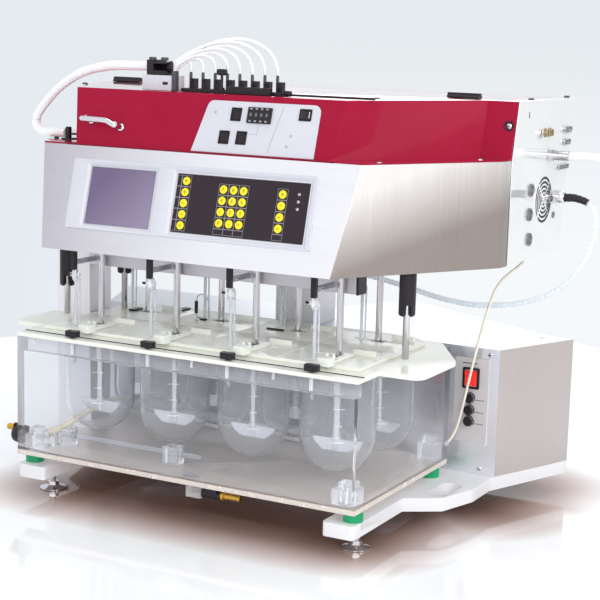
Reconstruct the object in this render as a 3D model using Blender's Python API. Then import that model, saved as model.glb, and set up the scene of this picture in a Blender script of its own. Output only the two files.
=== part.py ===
"""Tablet dissolution tester: eight stirred glass vessels in a clear water bath, under a lifting drive head.

The machine stands on the floor plane with its front towards -Y. Its own reference is the bath's front face
(y = 0), the machine's middle (x = 0) and the floor (z = 0). The root empty moves all of it so that the
footprint's middle lies over the world's origin. All sizes are in metres.
"""
import math

import bmesh
import bpy
from mathutils import Matrix, Vector

# Clearances, and the overrun of every cutter
SEAT_GAP = 0.0003
RUNNING_GAP = 0.0008
OVERRUN = 0.004
ROUND_STEPS = 24
VESSEL_STEPS = 16
SMALL_STEPS = 12
SIMPLE_STEPS = 10
TINY_STEPS = 8

# Stations of the vessels and stirring shafts: four columns, two rows
PITCH_X = 0.137
PITCH_Y = 0.1295
FRONT_ROW_Y = 0.1025
COLUMN_COUNT = 4
ROW_COUNT = 2

# Base: a cast plate with two arms under the bath
FOOT_HEIGHT = 0.030
BASE_THICKNESS = 0.020
ARM_OUTER = 0.287
ARM_INNER = 0.238
ARM_GAP_DEPTH = 0.335
BULGE_START = 0.160
BULGE_HALF = 0.356
BULGE_FRONT = 0.193
BULGE_REAR = 0.327
BASE_EDGE = 0.002
BASE_REAR = 0.499
BULGE_CORNER_HALF_SHARE = 0.944
GRIP_WIDTH = 0.033
GRIP_LENGTH = 0.076
GRIP_X = 0.3215
GRIP_Y = 0.235
BASE_CORNER_RADIUS = 0.006

# Levelling feet: dished discs on threaded studs
FOOT_RADIUS = 0.020
FOOT_DISC = 0.006
FOOT_RIM = 0.002
STUD_RADIUS = 0.005
FOOT_NUT_RADIUS = 0.009
FOOT_NUT_HEIGHT = 0.006
FOOT_X = 0.264
FOOT_FRONT_Y = 0.057
FOOT_REAR_Y = 0.440

# Green pads that carry the bath
PAD_RADIUS = 0.0135
PAD_HEIGHT = 0.015
PAD_X = 0.2740
PAD_FRONT_Y = 0.025
PAD_REAR_Y = 0.288

# Clear bath
BATH_HALF = 0.2876
BATH_DEPTH = 0.318
BATH_HEIGHT = 0.1835
BATH_WALL = 0.008
BEAM_HEIGHT = 0.0225
BEAM_DEPTH = 0.012
BLOCK_WIDTH = 0.024
BLOCK_DEPTH = 0.022
BLOCK_HEIGHT = 0.028
CORNER_BLOCK_WIDTH = 0.032
FEED_PIPE_RADIUS = 0.0045
FEED_PIPE_Y = 0.060
FEED_PIPE_HEIGHT = 0.017
FEED_PIPE_START = -0.238
FEED_PIPE_END = 0.004
FEED_BLOCK_X = -0.043

# Ribbed circulation hose lying on the bath's floor along the rear wall
HOSE_RADIUS = 0.011
HOSE_RIB_DEPTH = 0.0012
HOSE_RIB_PITCH = 0.0055
HOSE_BORE = 0.0085
HOSE_START = -0.165
HOSE_END = 0.055
HOSE_Y = 0.276

# Front rim strip, vessel plate and lids
STRIP_DEPTH = 0.0186
STRIP_THICKNESS = 0.006
PLATE_THICKNESS = 0.0075
PLATE_EAR_HALF = 0.350
PLATE_EAR_FRONT = 0.065
PLATE_EAR_REAR = 0.187
PLATE_REAR_HALF = 0.282
PLATE_REAR = 0.297
PLATE_SHOULDER_Y = 0.236
PLATE_SHOULDER_HALF = 0.320
VESSEL_HOLE_CLEARANCE = 0.0014
POCKET_CLEARANCE = 0.0022
LID_THICKNESS = 0.0049
LID_SKIN = 0.0028
LID_HALF = 0.268
LID_FRONT = 0.0395
LID_REAR = 0.294
LID_CORNER = 0.030
LID_SLOT_LENGTH = 0.080
LID_SLOT_WIDTH = 0.010
LID_EYE_HALF = 0.011
LID_BAR_LENGTH = 0.036
LID_BAR_WIDTH = 0.005
LID_BAR_HEIGHT = 0.007

# Glass vessels
VESSEL_RADIUS = 0.053
VESSEL_WALL = 0.003
VESSEL_CENTRE_Z = 0.1475
FLANGE_RADIUS = 0.058
FLANGE_THICKNESS = 0.0018
BOWL_STEPS = 4

# Clamp knobs that hold the plate's front edge
KNOB_RADIUS = 0.011
KNOB_HEIGHT = 0.010
KNOB_STEM_RADIUS = 0.004
KNOB_Y = 0.009
KNOB_FIRST_X = -0.1915
KNOB_PITCH = 0.1343
KNOB_COUNT = 4

# Rear housing
SHEET = 0.002
HOUSING_FRONT = 0.340
HOUSING_FRONT_HALF = 0.358
HOUSING_REAR = 0.492
HOUSING_REAR_HALF = 0.422
HOUSING_HEIGHT = 0.197
SWITCH_PLATE_INSET = 0.043
SWITCH_PLATE_Z = 0.1645
SWITCH_PLATE_WIDTH = 0.056
SWITCH_PLATE_HEIGHT = 0.133
SWITCH_PLATE_THICKNESS = 0.002
MAINS_INSET = 0.0435
MAINS_Z = 0.1995
BEZEL_WIDTH = 0.025
BEZEL_HEIGHT = 0.029
BEZEL_THICKNESS = 0.002
FUSE_RADIUS = 0.008
FUSE_LENGTH = 0.006
FUSE_INSET = 0.044
FUSE_HEIGHTS = (0.169, 0.150, 0.1325)

# Rocker switches
ROCKER_DEPTH = 0.006
ROCKER_CREST = 0.0015
ROCKER_TILT = math.radians(7)
MAINS_ROCKER_WIDTH = 0.018
MAINS_ROCKER_HEIGHT = 0.023
PANEL_ROCKER_WIDTH = 0.0145
PANEL_ROCKER_HEIGHT = 0.0165

# Lift columns and the posts inside them
LEFT_COLUMN_X = -0.3235
LEFT_COLUMN_WIDTH = 0.065
LEFT_COLUMN_FRONT = 0.190
LEFT_COLUMN_DEPTH = 0.059
MID_COLUMN_WIDTH = 0.074
MID_COLUMN_FRONT = 0.350
MID_COLUMN_DEPTH = 0.070
COLUMN_WALL = 0.0025
POST_WALL_GAP = 0.0010
POST_REACH = 0.254

# Drains
DRAIN_Y = 0.016
DRAIN_BLOCK_X = 0.0135
DRAIN_BLOCK_WIDTH = 0.0245
DRAIN_BLOCK_DEPTH = 0.024
DRAIN_BLOCK_HEIGHT = 0.018
DRAIN_BODY_RADIUS = 0.010
DRAIN_BODY_LENGTH = 0.031
DRAIN_NUT_RADIUS = 0.008
DRAIN_NUT_LENGTH = 0.006
NOZZLE_RADIUS = 0.0055
NOZZLE_LENGTH = 0.024
NOZZLE_BORE = 0.0018
SIDE_DRAIN_Y = 0.020
SIDE_DRAIN_Z = 0.091
SIDE_DRAIN_RADIUS = 0.014
SIDE_DRAIN_LENGTH = 0.021
SIDE_NOZZLE_RISE = 0.0085
SIDE_NOZZLE_LENGTH = 0.015

# Drive head: bottom outline, lean of its front and rear, and the heights of its steps
HEAD_BOTTOM = 0.388
HEAD_STEEL_TOP = 0.540
HEAD_TOP = 0.623
HEAD_FRONT = -0.002
HEAD_REAR = 0.482
HEAD_FRONT_HALF = 0.240
HEAD_HALF = 0.390
HEAD_FLARE_END = 0.241
HEAD_FRONT_SETBACK = 0.039
HEAD_REAR_LEAN = 0.174
HEAD_BEND_RADIUS = 0.030
COVER_FRONT = 0.041
COVER_FRONT_HALF = 0.209
COVER_FRONT_TOP_HALF = 0.225
COVER_SETBACK = 0.0245
COVER_STEP_HALF = 0.343
COVER_STEP_Y = 0.2577
COVER_STEP_SETBACK = 0.0233
TOP_GRIP_X = 0.299
TOP_GRIP_Y = 0.310
TOP_GRIP_LENGTH = 0.051
TOP_GRIP_DEPTH = 0.014
TOP_GRIP_HEIGHT = 0.011

# Display frame and keypad on the leaning steel front: places are (x, distance up the slope)
FRAME_LEFT = -0.202
FRAME_RIGHT = 0.2035
FRAME_LOW = 0.034
FRAME_HIGH = 0.137
FRAME_THICKNESS = 0.003
WINDOW_LEFT = -0.171
WINDOW_RIGHT = -0.059
WINDOW_LOW = 0.042
WINDOW_HIGH = 0.127
WINDOW_DEPTH = 0.0015
KEYPAD_LEFT = -0.022
KEYPAD_RIGHT = 0.192
KEYPAD_THICKNESS = 0.0018
KEY_RADIUS = 0.006
KEY_HEIGHT = 0.0012
KEY_PITCH = 0.0159
KEY_TOP_ROW = 0.1085
KEY_LEFT_TOP_ROW = 0.1163
KEY_LEFT_X = -0.0057
KEY_LEFT_ROWS = 5
KEY_ROWS = 4
KEY_COLUMNS_X = (0.0565, 0.0730, 0.0890, 0.1510)

# Control panel on the leaning red front
PANEL_LOW = 0.002
PANEL_HIGH = 0.077
PANEL_LOW_LEFT = -0.009
PANEL_HIGH_LEFT = 0.009
PANEL_RIGHT = 0.188
PANEL_RADIUS = 0.010
PANEL_THICKNESS = 0.0015
PANEL_ROCKERS = (("rocker_pump", 0.0560, 0.0582), ("rocker_reverse", 0.0422, 0.0245),
                 ("rocker_speed", 0.0702, 0.0250))
TURNED_ROCKER = (0.1655, 0.0625)
WHEEL_LEFT = 0.0755
WHEEL_RIGHT = 0.1130
WHEEL_LOW = 0.047
WHEEL_HIGH = 0.069
WHEEL_THICKNESS = 0.003

# Bow handle on the red front
BOW_Z = 0.576
BOW_LEFT = -0.205
BOW_BEND = -0.152
BOW_RIGHT = -0.133
BOW_POST_X = -0.188
BOW_OFFSET = 0.018
BOW_DROP = 0.008
BOW_RADIUS = 0.0042
BOW_POST_RADIUS = 0.0036
BOW_SIDES = 10

# Black guide sleeves with chrome rods: name, x, y, lower end of the sleeve
SLEEVES = (("guide_sleeve_left", -0.294, 0.134, 0.308), ("guide_sleeve_right", 0.294, 0.134, 0.324),
           ("guide_sleeve_rear", -0.251, 0.230, 0.320))
SLEEVE_RADIUS = 0.012
SLEEVE_ROUND = 0.004
GUIDE_ROD_RADIUS = 0.005

# Stirring shafts with paddles
SHAFT_RADIUS = 0.005
PADDLE_CLEARANCE = 0.025
PADDLE_WIDTH = 0.0745
PADDLE_FOOT = 0.042
PADDLE_HEIGHT = 0.019
PADDLE_THICKNESS = 0.004
PADDLE_ARC_STEPS = 3
BEARING_GAP = 0.0006
HUB_RADIUS = 0.008
HUB_HEIGHT = 0.004
PULLEY_RADIUS = 0.020
PULLEY_HEIGHT = 0.012
SHAFT_TOP = 0.006
BELT_THICKNESS = 0.002
BELT_WIDTH = 0.009
MOTOR_RADIUS = 0.030
MOTOR_LENGTH = 0.070
MOTOR_LEG_X = 0.035
MOTOR_LEG = 0.006
MOTOR_PLATE = 0.004
MOTOR_LIFT = 0.024
MOTOR_SHAFT_RADIUS = 0.004

# Sampling manifold under the head
BEAM_LEFT = -0.235
BEAM_RIGHT = 0.225
BEAM_FRONT = 0.111
BEAM_REAR = 0.136
BEAM_LOW = 0.350
BEAM_HIGH = 0.375
HANGER_X = 0.137
HANGER_WIDTH = 0.020
ARM_WIDTH = 0.009
ARM_LOW = 0.355
ARM_HIGH = 0.366
FRONT_ARM_OFFSET = -0.019
FRONT_PROBE_Y = 0.062
REAR_ARM_OFFSET = -0.024
REAR_PROBE_Y = 0.2215
PROBE_BLOCK = 0.013
PROBE_BLOCK_LOW = 0.335
PROBE_RADIUS = 0.0016
PROBE_LOW = 0.205
PROBE_HOLE_RADIUS = 0.0043

# Tube rack on top of the red cover
RACK_LEFT = -0.056
RACK_RIGHT = 0.110
RACK_FRONT = 0.086
RACK_REAR = 0.108
RACK_PLATE = 0.005
RACK_POSTS = 8
RACK_POST_FIRST = -0.050
RACK_POST_PITCH = 0.0206
RACK_POST_WIDTH = 0.011
RACK_POST_DEPTH = 0.010
RACK_POST_HEIGHT = 0.014
RACK_SPOUT_RADIUS = 0.0024
RACK_SPOUT_HEIGHT = 0.009
WING_X = 0.010
WING_STEM_RADIUS = 0.002
WING_STEM_HEIGHT = 0.020
WING_WIDTH = 0.020
WING_HEIGHT = 0.009
WING_DEPTH = 0.006
TIE_BLOCK_LEFT = -0.118
TIE_BLOCK_RIGHT = -0.064
TIE_BLOCK_FRONT = 0.078
TIE_BLOCK_REAR = 0.112
TIE_BLOCK_HEIGHT = 0.022
TIE_PLATE_WIDTH = 0.007
TIE_PLATE_HEIGHT = 0.029
CLAMP_LEFT = -0.112
CLAMP_RIGHT = -0.078
CLAMP_HEIGHT = 0.018
CLAMP_KNOB_RADIUS = 0.0055
CLAMP_KNOB_HEIGHT = 0.005
CLAMP_KNOB_INSET = 0.0066
BRACKET_X = -0.262
BRACKET_WIDTH = 0.010
BRACKET_DEPTH = 0.020
BRACKET_HEIGHT = 0.016

# Right side panel with its connectors: tables of (y, z, ...)
SIDE_FRONT = 0.262
SIDE_THICKNESS = 0.0015
SOCKET_RADIUS = 0.0095
SOCKET_LENGTH = 0.004
SOCKETS = ((0.342, 0.492), (0.340, 0.456), (0.343, 0.419))
FAN_Y = 0.398
FAN_Z = 0.4735
FAN_RADIUS = 0.035
FAN_RISE = 0.002
PLUG_BOXES = ((0.3945, 0.574, 0.069, 0.016), (0.490, 0.575, 0.048, 0.012), (0.488, 0.556, 0.042, 0.010),
              (0.477, 0.5185, 0.062, 0.009))
PLUG_RISE = 0.004
HOSE_FITTING = (0.409, 0.540)
HOSE_FITTING_RADIUS = 0.007
HOSE_FITTING_LENGTH = 0.018
ROUND_PLUG = (0.412, 0.4776)
ROUND_PLUG_RADIUS = 0.010
ROUND_PLUG_LENGTH = 0.030

# Cords: radius, and route points chosen by hand in the machine's own frame
CORD_STEP = 3.0
SLEEVE_HOSE_RADIUS = 0.007
SLEEVE_HOSE_ROUTE = ((-0.1125, 0.095, 0.657), (-0.142, 0.095, 0.657), (-0.190, 0.094, 0.655),
                     (-0.240, 0.095, 0.643), (-0.284, 0.101, 0.620), (-0.317, 0.106, 0.593),
                     (-0.333, 0.107, 0.572), (-0.330, 0.105, 0.557), (-0.314, 0.099, 0.5515),
                     (-0.290, 0.094, 0.5515), (-0.2675, 0.094, 0.5515))
FAN_TUBE_RADIUS = 0.0021
FAN_TUBE_PEAK = 0.056
FAN_TUBE_SPACING = 0.0044
FAN_FALL_SHARE = 0.6
FAN_TUBE_STEPS = 8
FAN_START = (-0.0775, 0.095, 0.657)
SPIRAL_RADIUS = 0.0045
SPIRAL_ROUTE = ((0.4222, 0.412, 0.4776), (0.440, 0.412, 0.4776), (0.461, 0.412, 0.470), (0.473, 0.410, 0.450),
                (0.470, 0.405, 0.412), (0.452, 0.402, 0.370), (0.428, 0.400, 0.343), (0.400, 0.398, 0.325),
                (0.360, 0.396, 0.311), (0.320, 0.394, 0.305), (0.280, 0.391, 0.303), (0.230, 0.388, 0.309),
                (0.170, 0.386, 0.322), (0.110, 0.385, 0.332), (0.060, 0.385, 0.336), (0.0376, 0.385, 0.336))
SUPPLY_RADIUS = 0.006
SUPPLY_ROUTE = ((0.4103, 0.409, 0.540), (0.432, 0.409, 0.540), (0.462, 0.410, 0.5405), (0.500, 0.414, 0.535),
                (0.545, 0.420, 0.505), (0.580, 0.428, 0.440), (0.597, 0.440, 0.340), (0.600, 0.452, 0.230),
                (0.598, 0.462, 0.130), (0.592, 0.478, 0.055), (0.575, 0.500, 0.015), (0.545, 0.530, 0.0072),
                (0.505, 0.552, 0.0065), (0.474, 0.566, 0.0065))

# Levels and places that follow from the sizes above
BASE_TOP = FOOT_HEIGHT + BASE_THICKNESS
PAD_TOP = BASE_TOP + PAD_HEIGHT
BATH_BOTTOM = PAD_TOP + SEAT_GAP
BATH_FLOOR = BATH_BOTTOM + BATH_WALL
BATH_TOP = BATH_BOTTOM + BATH_HEIGHT
PLATE_BOTTOM = BATH_TOP + SEAT_GAP
PLATE_TOP = PLATE_BOTTOM + PLATE_THICKNESS
STRIP_TOP = PLATE_BOTTOM + STRIP_THICKNESS
FLANGE_BOTTOM = PLATE_TOP + SEAT_GAP
FLANGE_TOP = FLANGE_BOTTOM + FLANGE_THICKNESS
LID_BOTTOM = PLATE_TOP + SEAT_GAP
LID_TOP = LID_BOTTOM + LID_THICKNESS
BASE_REAR_HALF = HOUSING_REAR_HALF + BASE_EDGE
SWITCH_PLATE_X = HOUSING_FRONT_HALF - SWITCH_PLATE_INSET
MAINS_X = HOUSING_FRONT_HALF - MAINS_INSET
FUSE_X = HOUSING_FRONT_HALF - FUSE_INSET
HOUSING_BOTTOM = BASE_TOP + SEAT_GAP
HOUSING_TOP = HOUSING_BOTTOM + HOUSING_HEIGHT
COLUMN_TOP = HEAD_BOTTOM - SEAT_GAP
COVER_BOTTOM = HEAD_STEEL_TOP + SEAT_GAP
PADDLE_LOW = VESSEL_CENTRE_Z - VESSEL_RADIUS + VESSEL_WALL + PADDLE_CLEARANCE
PULLEY_LOW = HEAD_BOTTOM + SHEET + SEAT_GAP + HUB_HEIGHT
FLARE = (HEAD_HALF - HEAD_FRONT_HALF) / (HEAD_FLARE_END - HEAD_FRONT)
FRONT_LEAN = HEAD_FRONT_SETBACK / (HEAD_STEEL_TOP - HEAD_BOTTOM)
COVER_RISE = HEAD_TOP - COVER_BOTTOM
HEAD_BACK = HEAD_REAR + HEAD_REAR_LEAN * (HEAD_TOP - HEAD_BOTTOM)
MIDDLE_Y = (HEAD_FRONT + HEAD_BACK) / 2
COVER_SLOPE = (COVER_FRONT, COVER_BOTTOM, COVER_FRONT + COVER_SETBACK, HEAD_TOP)
HEAD_SLOPE = (HEAD_FRONT, HEAD_BOTTOM, HEAD_FRONT + HEAD_FRONT_SETBACK, HEAD_STEEL_TOP)
COLUMNS_X = [(i - (COLUMN_COUNT - 1) / 2) * PITCH_X for i in range(COLUMN_COUNT)]
ROWS_Y = [FRONT_ROW_Y + i * PITCH_Y for i in range(ROW_COUNT)]


def clear_scene():
    """Removes every object, so that the script can be run again in the same session."""
    for old in list(bpy.data.objects):
        bpy.data.objects.remove(old, do_unlink=True)


def finish(name, colour, roughness, metallic=0.0, transmission=0.0):
    """A Principled material of one plain colour."""
    mat = bpy.data.materials.new(name)
    mat.use_nodes = True
    shader = mat.node_tree.nodes["Principled BSDF"]
    shader.inputs["Base Color"].default_value = (*colour, 1.0)
    shader.inputs["Roughness"].default_value = roughness
    shader.inputs["Metallic"].default_value = metallic
    shader.inputs["Transmission Weight"].default_value = transmission
    mat.diffuse_color = (*colour, 1.0)
    return mat


def solid(bm):
    """Turns a bmesh into a scene object with all its faces pointing out."""
    bmesh.ops.recalc_face_normals(bm, faces=bm.faces)
    mesh = bpy.data.meshes.new("piece")
    bm.to_mesh(mesh)
    bm.free()
    obj = bpy.data.objects.new("piece", mesh)
    bpy.context.scene.collection.objects.link(obj)
    return obj


def loft(rings, split=False):
    """A closed solid through rings of equally many points, with flat ends; split sides bend along one diagonal."""
    bm = bmesh.new()
    loops = [[bm.verts.new(point) for point in ring] for ring in rings]
    for low, high in zip(loops, loops[1:]):
        for i in range(len(low)):
            j = (i + 1) % len(low)
            side = (low[i], low[j], high[j], high[i])
            for corners in ((side[:3], (side[0], *side[2:])) if split else (side,)):
                bm.faces.new(corners)
    bm.faces.new(loops[0])
    bm.faces.new(loops[-1])
    return solid(bm)


def prism(outline, low, high):
    """An outline of (x, y) points, raised from z = low to z = high."""
    return loft([[(x, y, level) for x, y in outline] for level in (low, high)])


def block(x, y, z):
    """A box between pairs of x, y and z."""
    return prism([(x[0], y[0]), (x[1], y[0]), (x[1], y[1]), (x[0], y[1])], z[0], z[1])


def lathe(profile, steps=ROUND_STEPS, ring=False):
    """Turns (radius, height) points round the Z axis; a ring's profile closes on itself, off the axis."""
    bm = bmesh.new()
    loops = []
    for radius, height in profile:
        if radius == 0:
            loops.append([bm.verts.new((0, 0, height))] * steps)
            continue
        turns = [2 * math.pi * i / steps for i in range(steps)]
        loops.append([bm.verts.new((radius * math.cos(t), radius * math.sin(t), height)) for t in turns])
    followers = loops[1:] + loops[:1] if ring else loops[1:]
    for low, high in zip(loops, followers):
        for i in range(steps):
            j = (i + 1) % steps
            bm.faces.new(tuple(dict.fromkeys((low[i], low[j], high[j], high[i]))))
    return solid(bm)


def rod(radius, low, high, steps=SMALL_STEPS):
    """A plain round bar along Z."""
    return lathe([(0, low), (radius, low), (radius, high), (0, high)], steps)


def placed(obj, matrix):
    """Moves an object's mesh itself, and leaves the object where it is."""
    obj.data.transform(matrix)
    return obj


def at(x, y, z=0.0):
    """A shift as a matrix."""
    return Matrix.Translation((x, y, z))


def along_x(x, y, z):
    """A frame whose Z axis runs along +X, starting at a point."""
    return at(x, y, z) @ Matrix.Rotation(math.pi / 2, 4, "Y")


def slope(y_low, z_low, y_high, z_high):
    """The frame of a leaning front: x across, y up the slope, z out of its face."""
    up = Vector((0, y_high - y_low, z_high - z_low)).normalized()
    across = Vector((1, 0, 0))
    frame = Matrix((across, up, across.cross(up))).transposed().to_4x4()
    frame.translation = (0, y_low, z_low)
    return frame


def combine(body, tools, operation):
    """Applies a Boolean with each tool in turn and removes the tools."""
    for tool in tools:
        step = body.modifiers.new(operation.lower(), "BOOLEAN")
        step.operation = operation
        step.solver = "EXACT"
        step.object = tool
    bpy.context.view_layer.update()
    evaluated = body.evaluated_get(bpy.context.evaluated_depsgraph_get())
    mesh = bpy.data.meshes.new_from_object(evaluated)
    body.modifiers.clear()
    body.data = mesh
    for tool in tools:
        bpy.data.objects.remove(tool, do_unlink=True)
    return body


def cut(body, *tools):
    """The body less its tools."""
    return combine(body, tools, "DIFFERENCE")


def fuse(body, *parts):
    """The body and its parts as one solid."""
    return combine(body, parts, "UNION")


def named(obj, name, mat, parent, origin=(0.0, 0.0, 0.0), turn=None):
    """Names a piece, gives it its finish and hangs it under its body, its mesh drawn about its origin."""
    obj.name = name
    obj.data.name = name
    obj.data.materials.clear()
    obj.data.materials.append(mat)
    obj.data.shade_smooth()
    obj.data.set_sharp_from_angle(angle=math.radians(35))
    obj.parent = parent
    obj.location = origin
    if turn is not None:
        obj.rotation_euler = turn
    return obj


def rounded(corners, steps=4):
    """An outline whose corners (x, y, radius) are turned into arcs; radius 0 keeps a corner sharp."""
    outline = []
    for i, (x, y, radius) in enumerate(corners):
        here = Vector((x, y))
        if radius == 0:
            outline.append((x, y))
            continue
        back = (Vector(corners[i - 1][:2]) - here).normalized()
        on = (Vector(corners[(i + 1) % len(corners)][:2]) - here).normalized()
        half = back.angle(on) / 2
        centre = here + (back + on).normalized() * (radius / math.sin(half))
        start = here + back * (radius / math.tan(half)) - centre
        end = here + on * (radius / math.tan(half)) - centre
        sweep = start.angle_signed(end)
        for k in range(steps + 1):
            turned = start.copy()
            turned.rotate(Matrix.Rotation(-sweep * k / steps, 2))
            outline.append(tuple(centre + turned))
    return outline


def mirrored(right):
    """A whole outline from the right half's corners, which run from front to rear."""
    return list(right) + [(-corner[0], *corner[1:]) for corner in reversed(right)]


def smooth_route(points, spacing):
    """Points at even steps along a smooth curve through the route's own points (Catmull-Rom)."""
    knots = [Vector(p) for p in points]
    knots = [knots[0] * 2 - knots[1]] + knots + [knots[-1] * 2 - knots[-2]]
    fine = []
    for a, b, c, d in zip(knots, knots[1:], knots[2:], knots[3:]):
        pieces = max(2, round((c - b).length / spacing))
        for k in range(pieces):
            t = k / pieces
            fine.append((b * 2 + (c - a) * t + (a * 2 - b * 5 + c * 4 - d) * t ** 2
                         + (b * 3 - a - c * 3 + d) * t ** 3) / 2)
    return fine + [knots[-2]]


def tube(points, radius):
    """A round tube along a poly line, as a curve with a bevel and filled ends."""
    curve = bpy.data.curves.new("tube", "CURVE")
    curve.dimensions = "3D"
    curve.bevel_depth = radius
    curve.bevel_resolution = 2
    curve.use_fill_caps = True
    line = curve.splines.new("POLY")
    line.points.add(len(points) - 1)
    for spot, point in zip(line.points, points):
        spot.co = (*point, 1.0)
    obj = bpy.data.objects.new("tube", curve)
    bpy.context.scene.collection.objects.link(obj)
    return obj


def as_mesh(obj):
    """Turns a curve object into a mesh object of the same shape."""
    bpy.context.view_layer.update()
    mesh = bpy.data.meshes.new_from_object(obj.evaluated_get(bpy.context.evaluated_depsgraph_get()))
    bpy.data.objects.remove(obj, do_unlink=True)
    new = bpy.data.objects.new("piece", mesh)
    bpy.context.scene.collection.objects.link(new)
    return new


def cord(name, route, radius, mat, parent):
    """A free cord: a tube along a smooth curve through its route."""
    obj = tube(smooth_route(route, radius * 2 * CORD_STEP), radius)
    obj.name = name
    obj.data.materials.append(mat)
    obj.parent = parent
    return obj


def base_frame():
    """Cast base: two arms under the bath, a wide rear part, a grip hole and the four bath pads."""
    corner = BULGE_HALF * BULGE_CORNER_HALF_SHARE
    right = [(ARM_INNER, 0.0, BASE_CORNER_RADIUS), (ARM_OUTER, 0.0, BASE_CORNER_RADIUS),
             (ARM_OUTER, BULGE_START, BASE_CORNER_RADIUS), (corner, BULGE_FRONT, BASE_CORNER_RADIUS),
             (BULGE_HALF, (BULGE_FRONT + BULGE_REAR) / 2, BASE_CORNER_RADIUS),
             (BULGE_HALF, BULGE_REAR, BASE_CORNER_RADIUS), (BASE_REAR_HALF, BASE_REAR, BASE_CORNER_RADIUS)]
    left = [(-x, y, r) for x, y, r in reversed(right)]
    inner = [(-ARM_INNER, ARM_GAP_DEPTH, BASE_CORNER_RADIUS), (ARM_INNER, ARM_GAP_DEPTH, BASE_CORNER_RADIUS)]
    plate = prism(rounded(right + left + inner, 3), FOOT_HEIGHT, BASE_TOP)
    x = (GRIP_X - GRIP_WIDTH / 2, GRIP_X + GRIP_WIDTH / 2)
    y = (GRIP_Y - GRIP_LENGTH / 2, GRIP_Y + GRIP_LENGTH / 2)
    radius = GRIP_WIDTH / 2 - SEAT_GAP
    ends = ((x[0], y[0]), (x[1], y[0]), (x[1], y[1]), (x[0], y[1]))
    grip = rounded([(*end, radius) for end in ends], 4)
    cut(plate, prism(grip, FOOT_HEIGHT - OVERRUN, BASE_TOP + OVERRUN))
    pads = [placed(rod(PAD_RADIUS, BASE_TOP - BASE_THICKNESS / 2, PAD_TOP, VESSEL_STEPS),
                   at(side * PAD_X, pad_y)) for side in (-1, 1) for pad_y in (PAD_FRONT_Y, PAD_REAR_Y)]
    return fuse(plate, *pads)


def levelling_foot():
    """A dished disc with a nut and a stud that ends under the base."""
    stud_top = FOOT_HEIGHT - SEAT_GAP
    return lathe([(0, 0), (FOOT_RADIUS, 0), (FOOT_RADIUS, FOOT_RIM), (FOOT_NUT_RADIUS, FOOT_DISC),
                  (FOOT_NUT_RADIUS, FOOT_DISC + FOOT_NUT_HEIGHT), (STUD_RADIUS, FOOT_DISC + FOOT_NUT_HEIGHT),
                  (STUD_RADIUS, stud_top), (0, stud_top)], SMALL_STEPS)


def bath_tank():
    """Clear tank with a beam behind its front wall, corner blocks and the feed pipe in its blocks."""
    tank = block((-BATH_HALF, BATH_HALF), (0.0, BATH_DEPTH), (BATH_BOTTOM, BATH_TOP))
    inside_x = (BATH_WALL - BATH_HALF, BATH_HALF - BATH_WALL)
    inside_y = (BATH_WALL, BATH_DEPTH - BATH_WALL)
    cut(tank, block(inside_x, inside_y, (BATH_FLOOR, BATH_TOP + OVERRUN)))
    sunk = BATH_WALL / 2
    beam = block((inside_x[0] - sunk, inside_x[1] + sunk), (sunk, BATH_WALL + BEAM_DEPTH),
                 (BATH_TOP - BEAM_HEIGHT, BATH_TOP - SEAT_GAP))
    corners = [block(sorted((side * (inside_x[1] + sunk), side * (inside_x[1] - CORNER_BLOCK_WIDTH))),
                     (sunk, BATH_WALL + CORNER_BLOCK_WIDTH), (BATH_FLOOR - sunk, BATH_FLOOR + BLOCK_WIDTH))
               for side in (-1, 1)]
    feed_blocks = [block((x - BLOCK_WIDTH / 2, x + BLOCK_WIDTH / 2),
                         (FEED_PIPE_Y - BLOCK_DEPTH / 2, FEED_PIPE_Y + BLOCK_DEPTH / 2),
                         (BATH_FLOOR - sunk, BATH_FLOOR + BLOCK_HEIGHT))
                   for x in (FEED_PIPE_START, FEED_BLOCK_X)]
    pipe = placed(rod(FEED_PIPE_RADIUS, 0.0, FEED_PIPE_END - FEED_PIPE_START),
                  along_x(FEED_PIPE_START, FEED_PIPE_Y, BATH_FLOOR + FEED_PIPE_HEIGHT))
    return fuse(tank, beam, *corners, *feed_blocks, pipe)


def circulation_hose():
    """A ribbed hose with its bore, lying straight on the bath's floor."""
    ribs = round((HOSE_END - HOSE_START) / HOSE_RIB_PITCH)
    profile = [(HOSE_BORE, 0.0), (HOSE_RADIUS - HOSE_RIB_DEPTH, 0.0)]
    for rib in range(ribs):
        start = (rib + 0.5) * HOSE_RIB_PITCH
        profile += [(HOSE_RADIUS - HOSE_RIB_DEPTH, start), (HOSE_RADIUS, start + HOSE_RIB_PITCH / 2)]
    length = (ribs + 1) * HOSE_RIB_PITCH
    profile += [(HOSE_RADIUS - HOSE_RIB_DEPTH, length), (HOSE_BORE, length)]
    hose = lathe(profile, SIMPLE_STEPS, ring=True)
    return placed(hose, along_x(HOSE_START, HOSE_Y, BATH_FLOOR + HOSE_RADIUS + SEAT_GAP))


def rim_strip():
    """Cream strip on the bath's front rim."""
    return block((-BATH_HALF, BATH_HALF), (0.0, STRIP_DEPTH), (PLATE_BOTTOM, STRIP_TOP))


def stations():
    """The (x, y) places of all vessels, front row first."""
    return [(x, y) for y in ROWS_Y for x in COLUMNS_X]


def probes():
    """The (x, y) places of the sampling probes, in the order of the stations."""
    return [(x + FRONT_ARM_OFFSET, FRONT_PROBE_Y) if y == FRONT_ROW_Y else (x + REAR_ARM_OFFSET, REAR_PROBE_Y)
            for x, y in stations()]


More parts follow.
